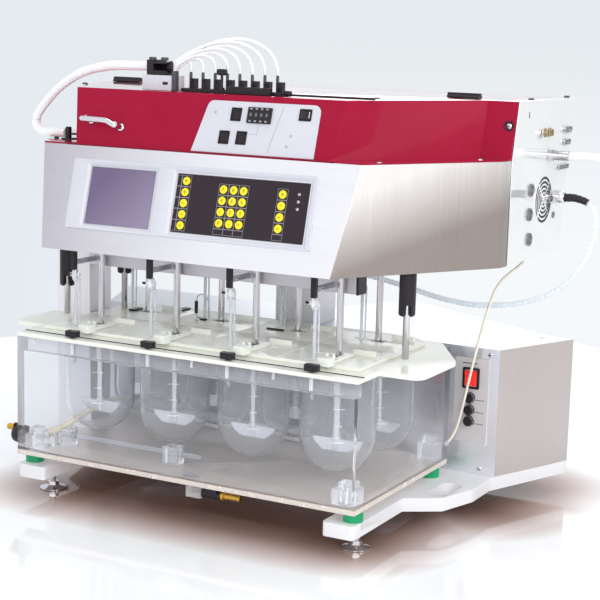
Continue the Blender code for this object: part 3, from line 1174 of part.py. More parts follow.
def build():
    clear_scene()
    root = bpy.data.objects.new("stand", None)
    head = bpy.data.objects.new("head", None)
    for empty in (root, head):
        bpy.context.scene.collection.objects.link(empty)
    white = finish("white_lacquer", (0.86, 0.87, 0.88), 0.35)
    cream = finish("cream_plastic", (0.86, 0.88, 0.82), 0.40)
    clear = finish("clear_acrylic", (0.92, 0.94, 0.95), 0.05, transmission=0.9)
    glass = finish("glass", (0.95, 0.97, 0.97), 0.03, transmission=0.95)
    steel = finish("brushed_steel", (0.62, 0.60, 0.64), 0.32, 1.0)
    chrome = finish("chrome", (0.85, 0.85, 0.87), 0.10, 1.0)
    red = finish("red_lacquer", (0.42, 0.02, 0.06), 0.15)
    black = finish("black_plastic", (0.02, 0.02, 0.02), 0.45)
    panel_white = finish("panel_white", (0.85, 0.87, 0.90), 0.40)
    keys = finish("keypad_black", (0.03, 0.02, 0.03), 0.40)
    tube_white = finish("tube_white", (0.88, 0.89, 0.90), 0.35)

    named(base_frame(), "base_frame", white, root)
    for end, y in (("front", FOOT_FRONT_Y), ("rear", FOOT_REAR_Y)):
        for hand, side in (("left", -1), ("right", 1)):
            named(levelling_foot(), f"levelling_foot_{end}_{hand}", chrome, root, (side * FOOT_X, y, 0.0))
    named(bath_tank(), "bath_tank", clear, root)
    named(circulation_hose(), "circulation_hose", tube_white, root)
    named(rim_strip(), "rim_strip", cream, root)
    named(vessel_plate(), "vessel_plate", cream, root)
    named(vessel_lids(), "vessel_lids", cream, root)
    for i, (x, y) in enumerate(stations(), 1):
        named(vessel(), f"vessel_{i}", glass, root, (x, y, 0.0))
        named(stirring_shaft(), f"paddle_shaft_{i}", chrome, head, (x, y, 0.0))
    for i in range(KNOB_COUNT):
        named(clamp_knob(), f"clamp_knob_{i + 1}", black, root,
              (KNOB_FIRST_X + i * KNOB_PITCH, KNOB_Y, STRIP_TOP + SEAT_GAP))
    named(rear_housing(), "rear_housing", steel, root)
    pivot = HOUSING_FRONT - SWITCH_PLATE_THICKNESS - BEZEL_THICKNESS
    named(rocker(MAINS_ROCKER_WIDTH, MAINS_ROCKER_HEIGHT), "mains_switch", red, root,
          (MAINS_X, pivot, MAINS_Z), (math.pi / 2 + ROCKER_TILT, 0.0, 0.0))
    named(column(LEFT_COLUMN_X, LEFT_COLUMN_WIDTH, LEFT_COLUMN_FRONT, LEFT_COLUMN_DEPTH, HOUSING_BOTTOM),
          "lift_column_left", steel, root)
    named(column(0.0, MID_COLUMN_WIDTH, MID_COLUMN_FRONT, MID_COLUMN_DEPTH, HOUSING_BOTTOM),
          "lift_column_middle", steel, root)
    named(front_drain(), "front_drain", black, root)
    named(side_drain(), "side_drain", black, root)

    named(head_housing(), "head_housing", steel, head)
    named(red_cover(), "red_cover", red, head)
    named(display_bezel(), "display_bezel", panel_white, head)
    named(keypad(), "keypad", keys, head)
    named(control_panel(), "control_panel", panel_white, head)
    frame = slope(*COVER_SLOPE)
    for name, x, y in PANEL_ROCKERS:
        place = frame @ Vector((x, y, SEAT_GAP + PANEL_THICKNESS))
        turn = (frame @ Matrix.Rotation(ROCKER_TILT, 4, "X")).to_euler()
        named(rocker(PANEL_ROCKER_WIDTH, PANEL_ROCKER_HEIGHT), name, black, head, place, turn)
    place = frame @ Vector((*TURNED_ROCKER, SEAT_GAP + PANEL_THICKNESS))
    turn = (frame @ Matrix.Rotation(-math.pi / 2, 4, "Z") @ Matrix.Rotation(ROCKER_TILT, 4, "X")).to_euler()
    named(rocker(PANEL_ROCKER_WIDTH, PANEL_ROCKER_HEIGHT), "rocker_cell", black, head, place, turn)
    named(bow_handle(), "bow_handle", chrome, head)
    for name, x, y, low in SLEEVES:
        named(guide_sleeve(low), name, black, head, (x, y, 0.0))
    named(drive_belt(), "drive_belt", black, head)
    named(drive_motor(), "drive_motor", steel, head)
    named(sampling_manifold(), "sampling_manifold", panel_white, head)
    named(tube_rack(), "tube_rack", black, head)
    named(wing_knob(), "wing_knob", black, head, (WING_X, RACK_FRONT + WING_DEPTH / 2 + SHEET, 0.0))
    named(tube_clamp(), "tube_clamp", panel_white, head)
    named(side_panel(), "side_panel", panel_white, head)
    named(sampling_tubes(), "sampling_tubes", tube_white, head)
    cord("sleeve_hose", SLEEVE_HOSE_ROUTE, SLEEVE_HOSE_RADIUS, tube_white, head)
    cord("spiral_cable", SPIRAL_ROUTE, SPIRAL_RADIUS, tube_white, head)
    cord("supply_hose", SUPPLY_ROUTE, SUPPLY_RADIUS, tube_white, head)

    head.parent = root
    root.location = (0.0, -MIDDLE_Y, 0.0)


build()
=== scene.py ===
# %% [markdown]
# # Tablet dissolution tester
# Eight glass vessels hang in a clear bath. Over them a steel head with a red cover stirs them with paddles, and
# lifts on two columns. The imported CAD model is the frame: every piece here sits in the same metres, and rides
# on one of its bodies, so that the head can lift and the shafts can spin.

import bmesh
import bpy
import numpy as np
from mathutils import Matrix


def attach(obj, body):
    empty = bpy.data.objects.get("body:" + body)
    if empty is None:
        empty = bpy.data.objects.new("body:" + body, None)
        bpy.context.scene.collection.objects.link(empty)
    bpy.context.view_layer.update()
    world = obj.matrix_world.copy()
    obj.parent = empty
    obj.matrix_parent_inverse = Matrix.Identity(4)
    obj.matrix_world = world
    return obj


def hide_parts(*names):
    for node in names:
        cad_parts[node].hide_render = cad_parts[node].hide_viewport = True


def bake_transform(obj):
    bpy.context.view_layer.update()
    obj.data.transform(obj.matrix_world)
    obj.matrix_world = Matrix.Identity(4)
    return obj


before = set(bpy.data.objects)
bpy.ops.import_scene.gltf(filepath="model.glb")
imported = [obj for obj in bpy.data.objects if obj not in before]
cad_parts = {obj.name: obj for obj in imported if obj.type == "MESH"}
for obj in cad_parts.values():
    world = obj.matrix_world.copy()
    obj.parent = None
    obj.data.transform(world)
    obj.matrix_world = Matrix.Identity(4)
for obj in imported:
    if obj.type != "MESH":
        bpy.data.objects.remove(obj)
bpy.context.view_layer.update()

bpy.context.scene.view_settings.view_transform = "Standard"

# %% [markdown]
# Places are written in the machine's own millimetres: x from its middle to the right, y from the bath's front
# face to the rear, z from the floor. One function turns them into the frame's metres.

# %% Machine millimetres to the frame's metres
MILLI = 0.001
BATH_FRONT = -0.260445


def row(points):
    """Millimetres times a thousandth, and y moved so that the footprint's middle is at zero."""
    return np.asarray(points, float) * MILLI + np.array([0.0, BATH_FRONT, 0.0])


print("bath front left corner", row([-287.6, 0, 65.3]))

# %% [markdown]
# The camera was solved from the machine's straight edges. It looks down a little and stands to the right, so the
# front and the right side both show. Its place and its turn are plain numbers.

# %% Camera
CAMERA_AT = row([1181.1, -1844.4, 719.5])
YAW, PITCH, ROLL = np.radians((-28.131, 9.886, 1.557))
FOCAL_SHARE = 1565.30 / 600


def camera_axes(yaw, pitch, roll):
    """Right, up and back axes: yaw about z, then pitch down, then roll about the line of sight."""
    forward = np.array([np.sin(yaw) * np.cos(pitch), np.cos(yaw) * np.cos(pitch), -np.sin(pitch)])
    right = np.array([np.cos(yaw), -np.sin(yaw), 0.0])
    up = np.cross(right, forward)
    turned = np.cos(roll) * right + np.sin(roll) * up
    upright = -np.sin(roll) * right + np.cos(roll) * up
    return np.column_stack((turned, upright, -forward))


camera_data = bpy.data.cameras.new("camera")
camera = bpy.data.objects.new("camera", camera_data)
bpy.context.scene.collection.objects.link(camera)
bpy.context.scene.camera = camera
camera_data.sensor_width = 36.0
camera_data.lens = camera_data.sensor_width * FOCAL_SHARE
camera_data.clip_end = 50.0
pose = np.eye(4)
pose[:3, :3] = camera_axes(YAW, PITCH, ROLL)
pose[:3, 3] = CAMERA_AT
camera.matrix_world = Matrix(pose.tolist())
print("lens", round(camera_data.lens, 2), "mm")

# %% [markdown]
# ## Shapes as arrays
# A shape here is a pair: an array of points and a list of faces. A grid of points whose rows close on themselves
# gives turned parts, tubes and slabs alike, so one function makes the faces of them all.

# %% Grid to faces
def sheet_faces(rows, columns, wrap_rows):
    """Quads between neighbours of a grid; the last column joins the first, and the last row too where it wraps."""
    r = np.arange(rows if wrap_rows else rows - 1)[:, None]
    c = np.arange(columns)[None, :]
    r_next, c_next = (r + 1) % rows, (c + 1) % columns
    quads = np.stack([r * columns + c, r * columns + c_next, r_next * columns + c_next, r_next * columns + c], -1)
    return quads.reshape(-1, 4).tolist()


def grid(points, wrap_rows=False):
    """A grid of shape (rows, columns, 3); one face each closes its first and last row, unless the rows wrap."""
    points = np.asarray(points, float)
    rows, columns = points.shape[:2]
    faces = sheet_faces(rows, columns, wrap_rows)
    if not wrap_rows:
        faces += [list(range(columns))[::-1], list(range((rows - 1) * columns, rows * columns))]
    return points.reshape(-1, 3), faces


# %% [markdown]
# Parts are drawn where it is easy, along the z axis, and then set in place by a frame: an origin and three axes.
# The machine has two leaning faces, the steel front and the red front, and each has its own frame.

# %% Frames
def frame_at(origin, across=(1, 0, 0), up=(0, 1, 0), out=(0, 0, 1)):
    """A place and three unit axes as a 4 x 4 matrix."""
    matrix = np.eye(4)
    matrix[:3, :3] = np.column_stack([np.asarray(a, float) / np.linalg.norm(a) for a in (across, up, out)])
    matrix[:3, 3] = origin
    return matrix


def lean(y_low, z_low, y_high, z_high):
    """A leaning face: x across, y up the slope, z out of it towards the front."""
    up = np.array([0.0, y_high - y_low, z_high - z_low])
    return frame_at((0, y_low, z_low), (1, 0, 0), up, np.cross((1, 0, 0), up))


def put(shape, matrix):
    """The shape with every point p carried to M p."""
    points, faces = shape
    return points @ matrix[:3, :3].T + matrix[:3, 3], faces


STEEL_FRONT = lean(-2.0, 388.0, 37.0, 540.0)
RED_FRONT = lean(41.0, 540.3, 65.5, 623.0)
SIDE_FACE = 391.8


def facing_front(x, y, z):
    """A frame whose z axis looks to the front, with its y axis up."""
    return frame_at((x, y, z), (1, 0, 0), (0, 0, 1), (0, -1, 0))


def facing_right(y, z, x=SIDE_FACE):
    """A frame on the right side: its z axis looks to the right, its x axis to the rear, its y axis up."""
    return frame_at((x, y, z), (0, 1, 0), (0, 0, 1), (1, 0, 0))


# %% Turned parts, slabs, blocks and tubes
def circle(turn):
    """Points (cos t, sin t) of the unit circle."""
    return np.stack([np.cos(turn), np.sin(turn)], -1)


def raised(outline, height):
    """A flat outline's points (x, y) at one height."""
    return np.column_stack((outline, np.full(len(outline), height)))


def turned(profile, steps=32, at=(0, 0, 0), matrix=None, ring_like=False):
    """Each (radius, height) carried round the axis: x = r cos t, y = r sin t; ring_like joins last to first."""
    profile = np.asarray(profile, float)
    points = np.empty((len(profile), steps, 3))
    points[..., :2] = profile[:, None, :1] * circle(np.linspace(0, 2 * np.pi, steps, endpoint=False))[None]
    points[..., 2] = profile[:, None, 1]
    shape = grid(points, wrap_rows=ring_like)
    return put(shape, frame_at(at) if matrix is None else matrix)


def bar(radius, low, high, steps=24, at=(0, 0, 0), matrix=None, round_by=0.0):
    """A round bar along z, with its two rims rounded by a 45 degree chamfer."""
    c = round_by
    profile = [(0, low), (radius - c, low), (radius, low + c), (radius, high - c), (radius - c, high), (0, high)]
    return turned(profile, steps, at, matrix)


def slab(outline, low, high, matrix=None):
    """A flat outline of (x, y) points raised from low to high."""
    shape = grid(np.stack([raised(outline, height) for height in (low, high)]))
    return shape if matrix is None else put(shape, matrix)


def block(x, y, z, matrix=None):
    """A box between pairs of x, y and z."""
    return slab([(x[0], y[0]), (x[1], y[0]), (x[1], y[1]), (x[0], y[1])], z[0], z[1], matrix)


def rounded(x, y, radius, steps=6):
    """A rectangle's outline whose corners are quarter circles."""
    arc = radius * circle(np.linspace(0, np.pi / 2, steps))
    centres = [(x[1] - radius, y[1] - radius), (x[0] + radius, y[1] - radius),
               (x[0] + radius, y[0] + radius), (x[1] - radius, y[0] + radius)]
    quarter = np.array([[0, -1], [1, 0]])
    corners = []
    for centre in centres:
        corners.append(arc + centre)
        arc = arc @ quarter.T
    return np.concatenate(corners)


def smooth(points, count):
    """A Catmull-Rom curve through the points, with evenly many points between each pair."""
    p = np.asarray(points, float)
    p = np.vstack([2 * p[0] - p[1], p, 2 * p[-1] - p[-2]])
    t = np.linspace(0, 1, count, endpoint=False)[None, :, None]
    a, b, c, d = (p[i:len(p) - 3 + i, None, :] for i in range(4))
    line = (2 * b + (c - a) * t + (2 * a - 5 * b + 4 * c - d) * t ** 2 + (3 * b - a - 3 * c + d) * t ** 3) / 2
    return np.vstack([line.reshape(-1, 3), p[-2]])


def swept(path, radius, steps=16, section=None):
    """A ring carried along a path: path + r (cos t n + sin t b), where n and b stand square to the path."""
    path = np.asarray(path, float)
    along = np.gradient(path, axis=0)
    along /= np.linalg.norm(along, axis=1, keepdims=True)
    aside = np.cross(along, [0.12, 0.23, 1.0])
    aside /= np.linalg.norm(aside, axis=1, keepdims=True)
    above = np.cross(aside, along)
    turn = np.linspace(0, 2 * np.pi, steps, endpoint=False)
    share = np.ones((len(path), steps)) if section is None else section(path_length(path)[:, None], turn[None])
    radius = np.asarray(radius, float) * share
    points = (path[:, None] + (radius * np.cos(turn))[..., None] * aside[:, None]
              + (radius * np.sin(turn))[..., None] * above[:, None])
    return grid(points)


def path_length(path):
    """Distance walked along the path up to each of its points."""
    steps = np.linalg.norm(np.diff(path, axis=0), axis=1)
    return np.concatenate([[0.0], np.cumsum(steps)])


print("a turned ring of 4 steps has", len(turned([(0, 0), (1, 0), (1, 1), (0, 1)], 4)[1]), "faces")

# %% [markdown]
# A piece gathers its shapes into one mesh, closes poles where points meet, points every face outwards, and gets
# a live bevel where its real edges are broken. Then it rides on its body and stands for the CAD nodes it covers.

# %% Make a piece
SMOOTH_ANGLE = np.radians(38)


def mesh_of(name, shapes):
    """One closed mesh from a list of shapes, in the frame's metres."""
    starts = np.cumsum([0] + [len(points) for points, _ in shapes])
    faces = [[i + start for i in face] for start, (_, group) in zip(starts, shapes) for face in group]
    mesh = bpy.data.meshes.new(name)
    mesh.from_pydata(row(np.concatenate([points for points, _ in shapes])).tolist(), [], faces)
    closed(mesh)
    return mesh


def piece(name, shapes, look, body, bevel=0.0, segments=2, covers=()):
    """One object from a list of shapes, with its finish, bevel and body."""
    return dressed(bpy.data.objects.new(name, mesh_of(name, shapes)), look, body, bevel, segments, covers)


def closed(mesh, merge=1e-6):
    """Merges points that meet, and turns all faces outwards."""
    work = bmesh.new()
    work.from_mesh(mesh)
    bmesh.ops.remove_doubles(work, verts=work.verts, dist=merge)
    bmesh.ops.recalc_face_normals(work, faces=work.faces)
    work.to_mesh(mesh)
    work.free()


def dressed(obj, look, body, bevel=0.0, segments=2, covers=()):
    """Links the object, shades it, breaks its edges and hangs it on its body."""
    bpy.context.scene.collection.objects.link(obj)
    obj.data.materials.clear()
    obj.data.materials.append(look)
    obj.data.shade_smooth()
    obj.data.set_sharp_from_angle(angle=SMOOTH_ANGLE)
    if bevel:
        edge = obj.modifiers.new("broken edges", "BEVEL")
        edge.width = bevel * MILLI
        edge.segments = segments
        edge.limit_method = "ANGLE"
        edge.angle_limit = SMOOTH_ANGLE
        edge.harden_normals = True
    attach(obj, body)
    if covers:
        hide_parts(*covers)
    return obj


# %% [markdown]
# Many CAD nodes already have the right shape, but with knife edges. Such a node is copied, its loose triangles
# are merged into clean flat faces, and the copy gets broken edges that catch the light.

# %% Soften a CAD node
FLAT = np.radians(1.0)


def softened(node, look, body, bevel, segments=2, grooves=()):
    """A merged copy of a CAD node with rounded edges; grooves are shapes cut out of it first, one after another."""
    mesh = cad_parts[node].data.copy()
    closed(mesh, 1e-5)
    work = bmesh.new()
    work.from_mesh(mesh)
    bmesh.ops.dissolve_limit(work, angle_limit=FLAT, verts=work.verts, edges=work.edges)
    work.to_mesh(mesh)
    work.free()
    mesh.materials.clear()
    obj = bpy.data.objects.new(node + "_shape", mesh)
    for groove in grooves:
        obj.data = carved(obj, [groove])
    return dressed(obj, look, body, bevel, segments, (node,))


def carved(obj, shapes):
    """The object's mesh less some shapes, by an exact boolean that is applied at once."""
    cutter = bpy.data.objects.new("cutter", mesh_of("cutter", shapes))
    for item in (obj, cutter):
        bpy.context.scene.collection.objects.link(item)
    cut = obj.modifiers.new("cut", "BOOLEAN")
    cut.operation, cut.solver, cut.object = "DIFFERENCE", "EXACT", cutter
    bpy.context.view_layer.update()
    result = bpy.data.meshes.new_from_object(obj.evaluated_get(bpy.context.evaluated_depsgraph_get()))
    obj.modifiers.clear()
    bpy.data.objects.remove(cutter)
    bpy.context.scene.collection.objects.unlink(obj)
    return result


print("helpers for pieces are ready")

# %% [markdown]
# ## Finishes
# Four effects recur, so each is a node group: brushed grain, a cloudy change of tone with fine dust, an orange-peel
# bump, and a smooth slope along a direction, which carries painted shade. They read Object coordinates, and give out
# only masks and normals.

# %% Node groups
def node_in(tree, kind, inputs=(), **settings):
    """A node with its settings; every input is named or numbered, and gets a plain value or a link."""
    node = tree.nodes.new("ShaderNode" + kind)
    for name, value in settings.items():
        setattr(node, name, value)
    for label, value in dict(inputs).items():
        if isinstance(value, bpy.types.NodeSocket):
            tree.links.new(value, node.inputs[label])
        else:
            node.inputs[label].default_value = value
    return node


def group_of(name, inputs, outputs):
    """An empty shader group with named sockets, and its input and output nodes."""
    tree = bpy.data.node_groups.new(name, "ShaderNodeTree")
    for label, kind, value in inputs:
        tree.interface.new_socket(label, in_out="INPUT", socket_type=kind).default_value = value
    for label, kind in outputs:
        tree.interface.new_socket(label, in_out="OUTPUT", socket_type=kind)
    return tree, tree.nodes.new("NodeGroupInput").outputs, tree.nodes.new("NodeGroupOutput").inputs


def object_place(tree):
    """Object coordinates, which stay with a piece when it moves."""
    return node_in(tree, "TexCoord").outputs["Object"]


def noise_in(tree, vector, scale, detail, roughness=0.55):
    """A noise texture's value in a tree."""
    return node_in(tree, "TexNoise", {"Vector": vector, "Scale": scale, "Detail": detail,
                                      "Roughness": roughness}).outputs["Fac"]


def bump_in(tree, height, strength, distance):
    """A bump's normal from a height mask."""
    return node_in(tree, "Bump", {"Height": height, "Strength": strength, "Distance": distance}).outputs["Normal"]


def grain_group():
    """Brushed grain: noise on coordinates stretched along the brushing, as a mask and as a bump."""
    tree, given, out = group_of(
        "brushed_grain", [("Stretch", "NodeSocketVector", (6.0, 900.0, 900.0)), ("Depth", "NodeSocketFloat", 0.2)],
        [("Mask", "NodeSocketFloat"), ("Normal", "NodeSocketVector")])
    stretched = node_in(tree, "VectorMath", {0: object_place(tree), 1: given["Stretch"]}, operation="MULTIPLY")
    mask = noise_in(tree, stretched.outputs[0], 1.0, 4.0, 0.7)
    tree.links.new(mask, out["Mask"])
    tree.links.new(bump_in(tree, mask, given["Depth"], 0.0002), out["Normal"])
    return tree


def tone_group():
    """Cloudy tone: broad noise for handling marks, and the peaks of a fine noise for dust."""
    tree, given, out = group_of(
        "tone_and_dust", [("Broad", "NodeSocketFloat", 9.0), ("Fine", "NodeSocketFloat", 420.0)],
        [("Clouds", "NodeSocketFloat"), ("Dust", "NodeSocketFloat")])
    place = object_place(tree)
    fine = noise_in(tree, place, given["Fine"], 2.0)
    peaks = node_in(tree, "MapRange", {"Value": fine, "From Min": 0.55, "From Max": 0.80})
    tree.links.new(noise_in(tree, place, given["Broad"], 3.0), out["Clouds"])
    tree.links.new(peaks.outputs["Result"], out["Dust"])
    return tree


def peel_group():
    """Moulded or sprayed skin: a fine shallow noise as a bump."""
    tree, given, out = group_of(
        "fine_skin", [("Scale", "NodeSocketFloat", 900.0), ("Depth", "NodeSocketFloat", 0.1)],
        [("Normal", "NodeSocketVector")])
    height = noise_in(tree, object_place(tree), given["Scale"], 2.0)
    tree.links.new(bump_in(tree, height, given["Depth"], 0.0003), out["Normal"])
    return tree


def slope_group():
    """A smooth change along a direction: the mask is w . position + c, kept between 0 and 1."""
    tree, given, out = group_of(
        "smooth_slope", [("Direction", "NodeSocketVector", (0.0, 0.0, 1.0)), ("Shift", "NodeSocketFloat", 0.0)],
        [("Mask", "NodeSocketFloat")])
    along = node_in(tree, "VectorMath", {0: object_place(tree), 1: given["Direction"]}, operation="DOT_PRODUCT")
    total = node_in(tree, "Math", {0: along.outputs["Value"], 1: given["Shift"]}, operation="ADD", use_clamp=True)
    tree.links.new(total.outputs[0], out["Mask"])
    return tree


GRAIN, TONE, PEEL, SLOPE = grain_group(), tone_group(), peel_group(), slope_group()
print("node groups", [tree.name for tree in (GRAIN, TONE, PEEL, SLOPE)])

# %% [markdown]
# One builder makes all opaque finishes. Colour wanders a little between a darker and a lighter tone, roughness follows
# the same clouds, and dust lifts it in fine specks. A painted shade can darken the colour along a direction. Plain
# values go straight onto the shader's sockets.

# %% Finish builder
COAT_ROUGH = 0.04
BROAD = 9.0


def linear(colour):
    """Screen colours from 0 to 255 as linear light."""
    c = np.asarray(colour, float) / 255
    return tuple(np.where(c <= 0.04045, c / 12.92, ((c + 0.055) / 1.055) ** 2.4)) + (1.0,)


def toned(dark, light, tone):
    """Both tones times a third, as linear light."""
    return tuple(tuple(np.multiply(linear(colour), linear(tone))) for colour in (dark, light))


def placed_group(tree, group, **values):
    """A group node's outputs in a material, with its plain values set."""
    return node_in(tree, "Group", values, node_tree=group).outputs


def ranged(tree, value, low, high):
    """Maps the middle half of a mask, from 0.25 to 0.75, to low..high."""
    return node_in(tree, "MapRange", {"Value": value, "From Min": 0.25, "From Max": 0.75, "To Min": low,
                                      "To Max": high}).outputs["Result"]


def blended(tree, mask, first, second):
    """A colour between two, by a mask; either may be a socket or plain numbers."""
    return node_in(tree, "Mix", {"Factor": mask, 6: first, 7: second}, data_type="RGBA").outputs[2]


def material_of(name, values):
    """A new material, its tree and its Principled shader with plain values on its sockets."""
    material = bpy.data.materials.new(name)
    material.use_nodes = True
    shader = material.node_tree.nodes["Principled BSDF"]
    for label, value in values.items():
        shader.inputs[label].default_value = value
    return material, material.node_tree, shader


def finish(name, dark, light, rough=(0.35, 0.45), metal=0.0, coat=0.0, skin=0.1, skin_scale=900.0, brushed=None,
           specular=0.5, dust=0.06, painted_shade=None):
    """An opaque finish between two tones, with cloudy roughness, dust, and grain or a fine skin.

    A painted shade (w, c, tone) multiplies the colour by the tone where w . position + c is 0, and not at all where it
    is 1.
    """
    material, tree, shader = material_of(name, {"Metallic": metal, "Specular IOR Level": specular,
                                                "Coat Weight": coat, "Coat Roughness": COAT_ROUGH})
    tone = placed_group(tree, TONE, Broad=BROAD)
    if brushed:
        grain = placed_group(tree, GRAIN, Stretch=brushed, Depth=skin)
        tree.links.new(grain["Normal"], shader.inputs["Normal"])
        clouds = node_in(tree, "Math", {0: ranged(tree, grain["Mask"], 0.0, 0.75),
                                        1: ranged(tree, tone["Clouds"], 0.0, 0.25)}, operation="ADD").outputs[0]
    else:
        clouds = ranged(tree, tone["Clouds"], 0.0, 1.0)
        if skin:
            tree.links.new(placed_group(tree, PEEL, Scale=skin_scale, Depth=skin)["Normal"], shader.inputs["Normal"])
    colour = blended(tree, clouds, linear(dark), linear(light))
    # Painted shade: the colour is multiplied by a darker tone along a direction.
    if painted_shade:
        slope = placed_group(tree, SLOPE, Direction=painted_shade[0], Shift=painted_shade[1])
        colour = blended(tree, slope["Mask"], blended(tree, clouds, *toned(dark, light, painted_shade[2])), colour)
    tree.links.new(colour, shader.inputs["Base Color"])
    lifted = node_in(tree, "Math", {0: tone["Dust"], 1: dust, 2: ranged(tree, clouds, *rough)},
                     operation="MULTIPLY_ADD")
    tree.links.new(lifted.outputs[0], shader.inputs["Roughness"])
    return material


# %% [markdown]
# Glass and clear plastic let lamps through: for shadow rays the shader turns into a plain transparent one, so the
# inside of the bath stays bright. A faint film of scratches and dust keeps the panes from looking empty.

# %% Clear materials
FILM_SCALE, FILM_FINE = 60.0, 700.0


def clear(name, tint, rough=0.01, ior=1.47, film=0.03, milk=0.0, shade=None):
    """Glass that lets lamps through, dimmed to the shade; milk is the share of light that its body scatters."""
    material, tree, shader = material_of(name, {"Base Color": linear(tint), "Transmission Weight": 1.0 - milk,
                                                "IOR": ior})
    tone = placed_group(tree, TONE, Broad=FILM_SCALE, Fine=FILM_FINE)
    tree.links.new(ranged(tree, tone["Clouds"], rough, rough + film), shader.inputs["Roughness"])
    through = node_in(tree, "BsdfTransparent", {"Color": linear(shade or tint)})
    mix = node_in(tree, "MixShader", {"Fac": node_in(tree, "LightPath").outputs["Is Shadow Ray"],
                                      1: shader.outputs["BSDF"], 2: through.outputs["BSDF"]})
    tree.links.new(mix.outputs["Shader"], tree.nodes["Material Output"].inputs["Surface"])
    return material


def painted_glow(name, colour, strength):
    """A finish that also gives out its colour as painted light, though the part is no lamp."""
    material = finish(name, colour, colour, (0.2, 0.3), skin=0.0)
    shader = material.node_tree.nodes["Principled BSDF"]
    shader.inputs["Emission Color"].default_value = linear(colour)
    shader.inputs["Emission Strength"].default_value = strength
    return material


# %% The finishes of this machine
# The steel front carries a painted shade, darker towards its left end.
STEEL = finish("steel_front", (237, 236, 242), (249, 249, 253), (0.30, 0.38), metal=1.0, brushed=(5.0, 700.0, 700.0),
               skin=0.06, painted_shade=((2.6, 0.0, 0.0), 0.85, (190, 187, 194)))
# The head's sides carry a painted reflection: darker low on the right side.
STEEL_SIDE = finish("steel_side", (238, 236, 235), (250, 249, 248), (0.32, 0.40), metal=1.0,
                    brushed=(380.0, 380.0, 5.0), skin=0.02, painted_shade=((-5.5, 0.0, 10.0), -2.55, (172, 164, 161)))
# A darker copy of the steel for the rear housing's sides: painted shade.
SHADED_STEEL_HOUSING = finish("steel_housing_painted_shade", (201, 193, 191), (209, 201, 199), (0.32, 0.40), metal=1.0,
                       brushed=(260.0, 260.0, 5.0), skin=0.01)
STEEL_COLUMN = finish("steel_column", (230, 228, 233), (246, 244, 248), (0.34, 0.42), metal=0.5,
                      brushed=(380.0, 380.0, 5.0), skin=0.03)
# A darker copy of the steel for the rear housing's top, which lies under the head: painted shade.
SHADED_STEEL_TOP = finish("steel_top_painted_shade", (202, 204, 210), (214, 216, 222), (0.34, 0.44), metal=0.85,
                   brushed=(5.0, 500.0, 500.0), skin=0.03)
CHROME = finish("chrome", (205, 203, 208), (226, 225, 229), (0.05, 0.11), metal=1.0, skin=0.0)
POLISHED = finish("ground_shaft", (196, 193, 198), (224, 222, 226), (0.10, 0.18), metal=1.0, skin=0.0)
RED = finish("red_lacquer", (157, 22, 53), (167, 28, 61), (0.24, 0.30), coat=0.06, skin=0.0, specular=0.05, dust=0.0)
RED_TOP = finish("red_top_lacquer", (164, 30, 60), (174, 36, 68), (0.14, 0.18), coat=1.0, skin=0.0, dust=0.0)
RED_DARK = finish("red_shaded", (112, 14, 34), (122, 18, 40), (0.4, 0.5), skin=0.0, specular=0.2)
WHITE_CAST = finish("white_lacquer", (238, 240, 244), (246, 247, 250), (0.28, 0.38), skin=0.12, skin_scale=500.0)
CREAM = finish("cream_plastic", (242, 244, 233), (249, 250, 242), (0.16, 0.24), skin=0.0)
CLAMP_WHITE = finish("clamp_white", (244, 247, 238), (250, 252, 246), (0.15, 0.25), skin=0.0)
PANEL = finish("panel_white", (205, 206, 216), (216, 217, 226), (0.30, 0.42), skin=0.08)
BEAM = finish("beam_grey", (190, 187, 193), (208, 205, 211), (0.30, 0.42), metal=0.6, skin=0.08)
BLACK = finish("black_plastic", (26, 20, 26), (38, 31, 38), (0.30, 0.42), skin=0.10, specular=0.35)
# Painted shade for holes, slots and windows: flat dark sheets where the inside of an opening lies in shade.
OPENING_SHADE = finish("painted_opening_shade", (16, 14, 17), (24, 21, 25), (0.5, 0.6), skin=0.0)
KEYPAD = finish("keypad_black", (38, 28, 36), (46, 35, 43), (0.34, 0.44), skin=0.05, specular=0.3)
YELLOW = finish("key_yellow", (240, 222, 22), (248, 232, 40), (0.30, 0.40), skin=0.05)
INK = finish("ink_black", (36, 32, 36), (44, 40, 44), (0.4, 0.5), skin=0.0)
PRINT = finish("print_grey", (150, 146, 154), (164, 160, 168), (0.4, 0.5), skin=0.0)
KEY_INK = finish("key_ink", (112, 94, 20), (122, 104, 26), (0.4, 0.5), skin=0.0)
SWITCH_PLATE = finish("switch_plate", (214, 209, 211), (221, 216, 218), (0.34, 0.42), metal=0.2, skin=0.0)
DULL_BRASS = finish("dull_brass", (158, 142, 108), (186, 170, 134), (0.2, 0.32), metal=0.8, skin=0.0)
PRINT_WHITE = finish("print_white", (236, 238, 240), (246, 248, 250), (0.4, 0.5), skin=0.0)
# The screen carries a painted shade, darker towards its upper left.
SCREEN = finish("lcd_screen", (138, 126, 154), (146, 134, 162), (0.30, 0.40), skin=0.0, coat=0.3,
                painted_shade=((8.0, 0.0, -7.0), 4.6, (190, 180, 204)))
GREEN = finish("pad_green", (0, 146, 92), (6, 166, 108), (0.30, 0.42), skin=0.1)
BRASS = finish("brass", (196, 152, 62), (222, 182, 92), (0.18, 0.30), metal=1.0, skin=0.0)
RUBBER = finish("belt_rubber", (28, 28, 28), (38, 38, 38), (0.6, 0.75), skin=0.2)
MOTOR = finish("motor_grey", (60, 60, 64), (74, 74, 78), (0.4, 0.5), skin=0.15)
TUBE = finish("tube_white", (243, 245, 247), (252, 253, 254), (0.22, 0.32), skin=0.0)
HOSE = finish("hose_white", (244, 246, 249), (252, 253, 254), (0.30, 0.42), skin=0.1)
LEVEL_CREAM = finish("level_tube_cream", (238, 232, 214), (246, 241, 226), (0.25, 0.35), skin=0.0)
